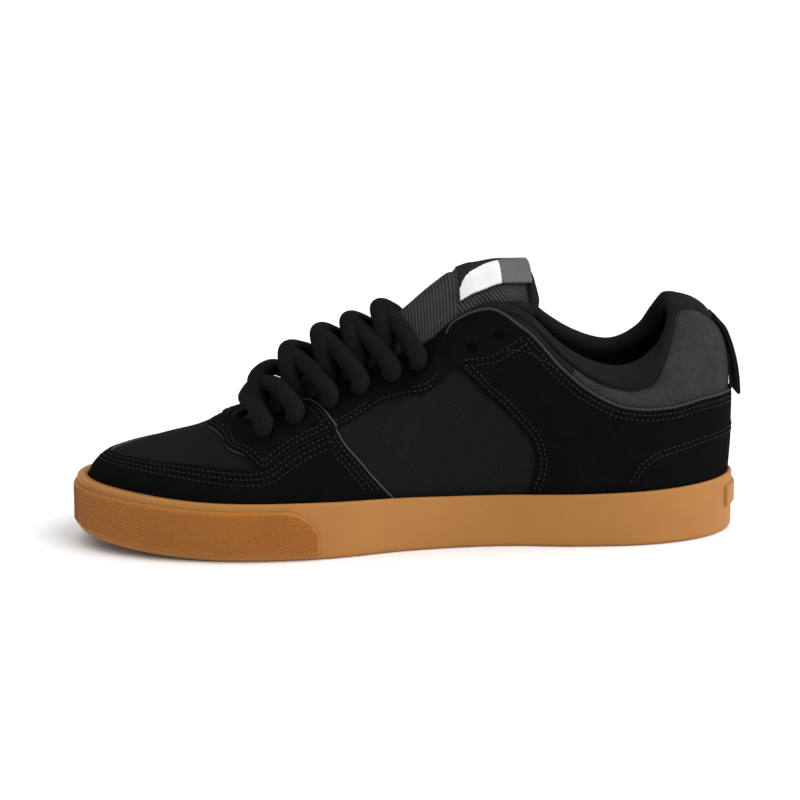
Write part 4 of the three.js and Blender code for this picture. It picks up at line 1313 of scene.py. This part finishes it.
def eyelet_points(row, side):
    """Where the lace passes an eyelet: inside the shoe, in the hole, leaving it and above it."""
    at, up = EYELETS[row]
    point, climb, _, normal = skin_frame(np.array(at if side > 0 else LOOP - at), np.array(up))
    down = -unit(climb)
    clear = SUEDE_OVER + LACE_CLEARANCE
    return {
        "inside": point + normal * (BASE_SKIN - WALL - INSIDE_DEPTH),
        "bore": point - normal * BORE_DEPTH,
        "end": point + normal * clear + down * END_DROP,
        "above": point + normal * (clear + LACE_THICKNESS / 2) + down * ABOVE_DROP,
    }


def arch_point(x, y, lift):
    """A place over the tongue, lifted square to its middle line."""
    slope = (tongue_top(x + 1, 0) - tongue_top(x - 1, 0)) / 2
    out = unit(np.array([-slope, 0, 1.0]))
    return np.array([x, y, float(tongue_top(x, y))]) + out * lift


def raised(z):
    return np.array([0, 0, z])


def crossing(row, side):
    """The lace from one eyelet, under the edge and over the tongue, into the next eyelet across."""
    start = eyelet_points(row, side)
    goal = eyelet_points(row + 1, -side)
    above = goal["above"]
    lift = LACE_LIFT[row + 1] + side * CROSSING_RISE * LACE_THICKNESS
    slack = ARM_SLACK[row]
    x, y = start["end"][:2]
    leg = x - LEG_BACK[row]
    crown = arch_point(x + (goal["end"][0] - x) * CREST_SHARE[row], 0, lift)
    return [
        (start["inside"], FLAT_CORD),
        (arch_point(x, y * 0.7, 2.0), FLAT_CORD),
        (arch_point(leg, y * 0.52, 4.5), LEG_CORD),
        (arch_point(leg, y * 0.4, lift * 0.6), FULL_CORD),
        (crown, FULL_CORD),
        (crown * 0.64 + above * 0.36 + raised(slack), FULL_CORD),
        (crown * 0.28 + above * 0.72 + raised(slack * 0.8), FULL_CORD),
        (above, FULL_CORD),
        (goal["end"], NECK_CORD),
        (goal["bore"], BORE_CORD),
    ]


def chain(side):
    """Crossings from the first row up to the last laced row, and the hidden end there."""
    points = []
    for row in range(LACED_ROWS - 1):
        points += crossing(row, side if row % 2 == 0 else -side)
    last = eyelet_points(LACED_ROWS - 1, -side if LACED_ROWS % 2 == 0 else side)
    return points + [(last["inside"], END_CORD)]


def half_bar(end, crown):
    above = end["above"]
    slack = raised(BAR_SLACK)
    return [
        (end["bore"], BORE_CORD),
        (end["end"], NECK_CORD),
        (above, FULL_CORD),
        (crown * 0.3 + above * 0.7 + slack, FULL_CORD),
        (crown * 0.66 + above * 0.34 + slack, FULL_CORD),
    ]


def lace_route():
    """Points of the lace from end to end, each with its width and thickness there."""
    left = eyelet_points(0, 1)
    right = eyelet_points(0, -1)
    crown = arch_point(left["end"][0] + 1.5, 0, LACE_LIFT[0])
    bar = half_bar(left, crown) + [(crown, FULL_CORD)] + half_bar(right, crown)[::-1]
    return chain(1)[::-1] + bar + chain(-1)


LACE_SIDES = 20
LACE_STEP = 1.2


def tube(name, places, sizes, materials, step=LACE_STEP, sides=LACE_SIDES):
    """An oval cord through points, its wide side lying level where it can. Gives the cord and its length."""
    places = np.asarray(places, float)
    sizes = np.asarray(sizes, float)
    chord = np.concatenate([[0], np.cumsum(np.linalg.norm(np.diff(places, axis=0), axis=1) ** 0.5)])
    path = curve_through(chord, places)
    fine = np.linspace(0, chord[-1], 6000)
    run = run_along(path(fine))
    at = np.interp(np.arange(0, run[-1], step), run, fine)
    centre = path(at)
    along = unit(np.gradient(centre, axis=0))
    across = np.zeros_like(centre)
    top = raised(1.0)
    before = unit(np.cross(along[0], top))
    for i, way in enumerate(along):
        level = np.cross(way, top)
        carried = unit(before - way * (before @ way))
        sure = 0.35 * min(np.linalg.norm(level) * 1.2, 1) ** 2
        level = unit(level)
        if level @ carried < 0:
            level = -level
        across[i] = before = unit(carried * (1 - sure) + level * sure)
    up = np.cross(across, along)
    turn = np.linspace(0, 2 * np.pi, sides + 1)[None, :, None]
    half = curve_through(chord, sizes)(at)[:, None] / 2
    aside = across[:, None] * np.cos(turn) * half[..., :1]
    upward = up[:, None] * np.sin(turn) * half[..., 1:]
    ring = centre[:, None] + aside + upward
    ends = np.broadcast_to(centre[:, None], ring.shape)
    points = np.concatenate([ends[:1], ring, ends[-1:]])
    length = np.concatenate([[0], np.arange(len(centre)) * step, [len(centre) * step]])
    girth = turn[..., 0] * sizes.max() * 0.42
    uv = np.stack(np.broadcast_arrays(length[:, None], girth), -1) * MM
    return grid_object(name, points, materials, uv=uv), run[-1]


def lace():
    route = lace_route()
    return tube("lace", [place for place, _ in route], [size for _, size in route], [LACE_CLOTH])


# Outlines of the pieces that cross the middle

MUDGUARD_LINE = MUDGUARD + mirrored(MUDGUARD)[1:]
TOE_LINE = TOE_EYESTAY[::-1][1:] + [(LOOP - station, up) for station, up in TOE_EYESTAY[:-1]]
COUNTER_LINE = COUNTER[::-1] + [(-station, up) for station, up in COUNTER[1:]]

MUDGUARD_LEVEL = SUEDE_OVER
TOE_LEVEL = SUEDE_OVER + 0.5
COUNTER_LEVEL = SUEDE_OVER + 0.5
EYESTAY_LEVEL = SUEDE_OVER - 0.2
QUARTER_LEVEL = SUEDE_OVER + 0.2


def both_sides(line):
    return line, mirrored(line)


# Stitching

STITCH_PITCH = 2.4
STITCH = np.array([0.78, 0.3, 0.28])
SIDE_PITCH = 3.4
STITCH_FORM, STITCH_FACES = small_shape("create_uvsphere", u_segments=6, v_segments=4, radius=1.0)
STITCH_FORM = STITCH_FORM[:, [2, 0, 1]]


def thread_row(line, level, kept, pitch=STITCH_PITCH, size=STITCH):
    """Centres and axes of a row of stitches along a line on the skin, where `kept` is true."""
    place = off_skin(line[:, 0], line[:, 1], level)
    run = run_along(place)
    at = np.arange(pitch / 2, run[-1], pitch)
    at = at[np.interp(at, run, kept.astype(float)) > 0.99]
    station = np.interp(at, run, line[:, 0])
    up = np.interp(at, run, line[:, 1])
    centre = off_skin(station, up, level)
    ahead = [np.interp(at + 0.5, run, part) - np.interp(at - 0.5, run, part) for part in place.T]
    along = unit(np.stack(ahead, -1))
    _, _, _, normal = skin_frame(station, up)
    across = np.cross(normal, along)
    axes = np.stack([along * size[0], across * size[1], normal * size[2]], 1)
    return centre, axes


def edge_stitches(corners, distance, level, wanted):
    """Stitches along the inside of a piece's outline, where `wanted` says so."""
    line = closed_line(corners)
    border = on_skin(line)
    row = shifted(line, distance)
    row[:, 1] = np.clip(row[:, 1], 0, 1)
    kept = nearest(on_skin(row), border) > 0.88 * distance
    kept &= wanted(medial_station(row[:, 0]), row[:, 1])
    return thread_row(np.concatenate([row, row[:1]]), level, np.concatenate([kept, kept[:1]]))


def open_stitches(corners, level, pitch=STITCH_PITCH, size=STITCH):
    line = spaced(smoothed(corners, closed=False), 1.0, closed=False)
    return thread_row(line, level, np.ones(len(line), bool), pitch, size)


def above_sole(station, up):
    return up > 0.12


def on_toe_eyestay(station, up):
    return (up < 0.86) | ((station > 10.6) & (up < 0.93))


def on_eyestay(station, up):
    return (up < 0.66) & (station > 6.5) & (station < 7.9)


def on_quarter(station, up):
    under_counter = (station < 3.7) & (up < 0.235)
    under_flap = (station > 5.7) & (up > 0.66)
    return (up > 0.12) & (station > 0.34) & ~under_counter & ~under_flap


FLAP_ARC = [(6.22, 0.66), (6.02, 0.663), (5.86, 0.69), (5.78, 0.74), (5.68, 0.803), (5.62, 0.85)]
FLAP_ARC_INNER = [(6.27, 0.69), (6.08, 0.695), (5.95, 0.715), (5.87, 0.755), (5.78, 0.81), (5.72, 0.86)]
FLAP_ROW = [(5.83, 0.767), (5.5, 0.82), (5.12, 0.86)]
SIDE_ROWS = [[(7.18, 0.523), (6.5, 0.32), (5.83, 0.123)], [(6.13, 0.503), (5.5, 0.33), (4.86, 0.16)]]


def gathered(name, rows, material):
    centres = np.concatenate([centre for centre, _ in rows])
    axes = np.concatenate([axis for _, axis in rows])
    return copies(name, STITCH_FORM, STITCH_FACES, centres, axes, [material])


def seam_stitches():
    rows = []
    for distance in (2.0, 4.2, 6.4):
        rows.append(edge_stitches(MUDGUARD_LINE, distance, MUDGUARD_LEVEL, above_sole))
    for distance in (1.8, 4.0):
        rows.append(edge_stitches(TOE_LINE, distance, TOE_LEVEL, on_toe_eyestay))
        rows.append(edge_stitches(COUNTER_LINE, distance, COUNTER_LEVEL, above_sole))
        for eyestay, quarter in zip(both_sides(EYESTAY), both_sides(QUARTER)):
            rows.append(edge_stitches(eyestay, distance, EYESTAY_LEVEL, on_eyestay))
            rows.append(edge_stitches(quarter, distance + 0.3, QUARTER_LEVEL, on_quarter))
    for line in (FLAP_ARC, FLAP_ARC_INNER, FLAP_ROW):
        rows += [open_stitches(way, QUARTER_LEVEL) for way in both_sides(line)]
    return rows


def side_stitches():
    rows = []
    for line in SIDE_ROWS:
        rows += [open_stitches(way, BASE_SKIN, SIDE_PITCH, STITCH * 0.75) for way in both_sides(line)]
    return rows


# Beads along the edges of the suede; the pale ones on the rear edges of the mudguard and toe eyestay carry a
# painted highlight

QUARTER_TOP = QUARTER[QUARTER.index((0.012, 0.293)):] + [(6.72, 0.975), (6.77, 0.93)]
MUDGUARD_REAR = MUDGUARD[:8]
TOE_EYESTAY_REAR = TOE_EYESTAY[13:21]
PIPING_RISE = 0.004


def bead(name, places, word, level, width, material):
    """A thin cord along the edge of a suede piece."""
    line = spaced(smoothed(places, closed=False), 2.0, closed=False)
    station = line[:, 0] if word == "medial" else LOOP - line[:, 0]
    centre = off_skin(station, line[:, 1], level)
    return tube(f"{name}_{word}", centre, [(width, width)] * len(centre), [material], sides=8)[0]


# Build

shell = upper_shell()
liners = eyelet_liners()
sole_piece = sole()
insole_piece = insole()
tongue_piece = tongue()
label_piece = tongue_label()
tab_piece = pull_tab()
lace_piece, lace_length = lace()
print("lace length mm", round(lace_length))

# The mudguard and toe eyestay edges face the key light: their pale edge colour is partly painted highlight
edge_with_highlight = [SUEDE, CUT_EDGE_AND_HIGHLIGHT]
dark_edge = [SUEDE, CUT_EDGE_DARK]
panels = {
    "mudguard": panel("mudguard_suede", MUDGUARD_LINE, MUDGUARD_LEVEL, edge_with_highlight),
    "toe_eyestay": panel("toe_eyestay_suede", TOE_LINE, TOE_LEVEL, edge_with_highlight),
    "heel_counter": panel("heel_counter_suede", COUNTER_LINE, COUNTER_LEVEL, dark_edge),
}
for word, eyestay, quarter in zip(("medial", "lateral"), both_sides(EYESTAY), both_sides(QUARTER)):
    panels[f"eyestay_{word}"] = panel(f"eyestay_{word}_suede", eyestay, EYESTAY_LEVEL, dark_edge)
    panels[f"quarter_{word}"] = panel(f"quarter_{word}_suede", quarter, QUARTER_LEVEL, dark_edge)
bumper = toe_bumper()
lattice = bumper_lattice()
plate = heel_plate()
studs = tread()
binding = tongue_binding()
beads = []
piping_line = [(at, up + PIPING_RISE) for at, up in QUARTER_TOP]
for word in ("medial", "lateral"):
    beads.append(bead("collar_piping", piping_line, word, 0.5, 1.3, PIPING))
    # Pale beads on the rear edges of the mudguard and toe eyestay: a painted highlight of the key light on
    # these edges, over the cut edge's own lighter tone
    beads.append(bead("mudguard_edge_highlight", MUDGUARD_REAR, word, MUDGUARD_LEVEL - 0.35, 0.8, CUT_EDGE_AND_HIGHLIGHT))
    beads.append(bead("toe_eyestay_edge_highlight", TOE_EYESTAY_REAR, word, TOE_LEVEL - 0.4, 0.8, CUT_EDGE_AND_HIGHLIGHT))
seams = gathered("seam_stitches", seam_stitches(), THREAD)
side_rows = gathered("side_stitches", side_stitches(), THREAD_DARK)

for solid, piece in panels.items():
    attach(piece, "root")
    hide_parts(solid)
for piece, solid, slot in (
    (shell, "upper", "textile"), (sole_piece, "cupsole", "gum_rubber"), (insole_piece, "insole", "lining"),
    (tongue_piece, "tongue", "textile"), (label_piece, "tongue_label", "ribbon"),
    (tab_piece, "heel_pull_tab", "ribbon"), (lace_piece, "laces", "lace"),
):
    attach(piece, "root")
    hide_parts(solid)
for piece, slot in (
    [(piece, "lining") for piece in liners]
    + [(piece, "gum_rubber") for piece in (bumper, lattice, plate, studs)]
    + [(piece, "textile") for piece in (binding, *beads)]
    + [(piece, "lace") for piece in (seams, side_rows)]
):
    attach(piece, "root")

# Floor, camera and light

floor_mesh = bpy.data.meshes.new("floor")
floor_mesh.from_pydata([(-3, -3, 0), (3, -3, 0), (3, 3, 0), (-3, 3, 0)], [], [(0, 1, 2, 3)])
floor = new_object("floor", floor_mesh, [plain("floor_white", (0.95, 0.95, 0.95), 0.8)])

TARGET = Vector((0.0032, 0.0, 0.0606))
VIEW_FROM = Vector((0.06797, 0.97199, 0.22495))
DISTANCE = 1.3
camera = bpy.data.objects.new("camera", bpy.data.cameras.new("camera"))
camera.data.lens = 128.34
camera.data.sensor_width = 36.0
camera.location = TARGET + DISTANCE * VIEW_FROM
camera.rotation_euler = (TARGET - camera.location).to_track_quat("-Z", "Y").to_euler()
bpy.context.scene.collection.objects.link(camera)
bpy.context.scene.camera = camera

# The camera sees pure white, and the sky lights the shoe less than that.
SKY_LIGHT = 0.62
world = bpy.data.worlds.new("world")
world.use_nodes = True
sky = world.node_tree
seen = node(sky, "ShaderNodeLightPath").outputs["Is Camera Ray"]
background = sky.nodes["Background"]
background.inputs["Color"].default_value = (1, 1, 1, 1)
strength = result_of(sky, "MULTIPLY_ADD", seen, 1.0 - SKY_LIGHT, SKY_LIGHT)
sky.links.new(strength, background.inputs["Strength"])
bpy.context.scene.world = world


def sun(name, direction, strength, spread):
    light = bpy.data.objects.new(name, bpy.data.lights.new(name, "SUN"))
    light.data.energy = strength
    light.data.angle = math.radians(spread)
    light.rotation_euler = Vector(direction).to_track_quat("Z", "Y").to_euler()
    bpy.context.scene.collection.objects.link(light)


sun("key", (-1.1, 0.48, 0.85), 3.0, 75)
sun("overhead", (0.2, -0.1, 1.0), 0.7, 60)
bpy.context.scene.view_settings.view_transform = "Standard"
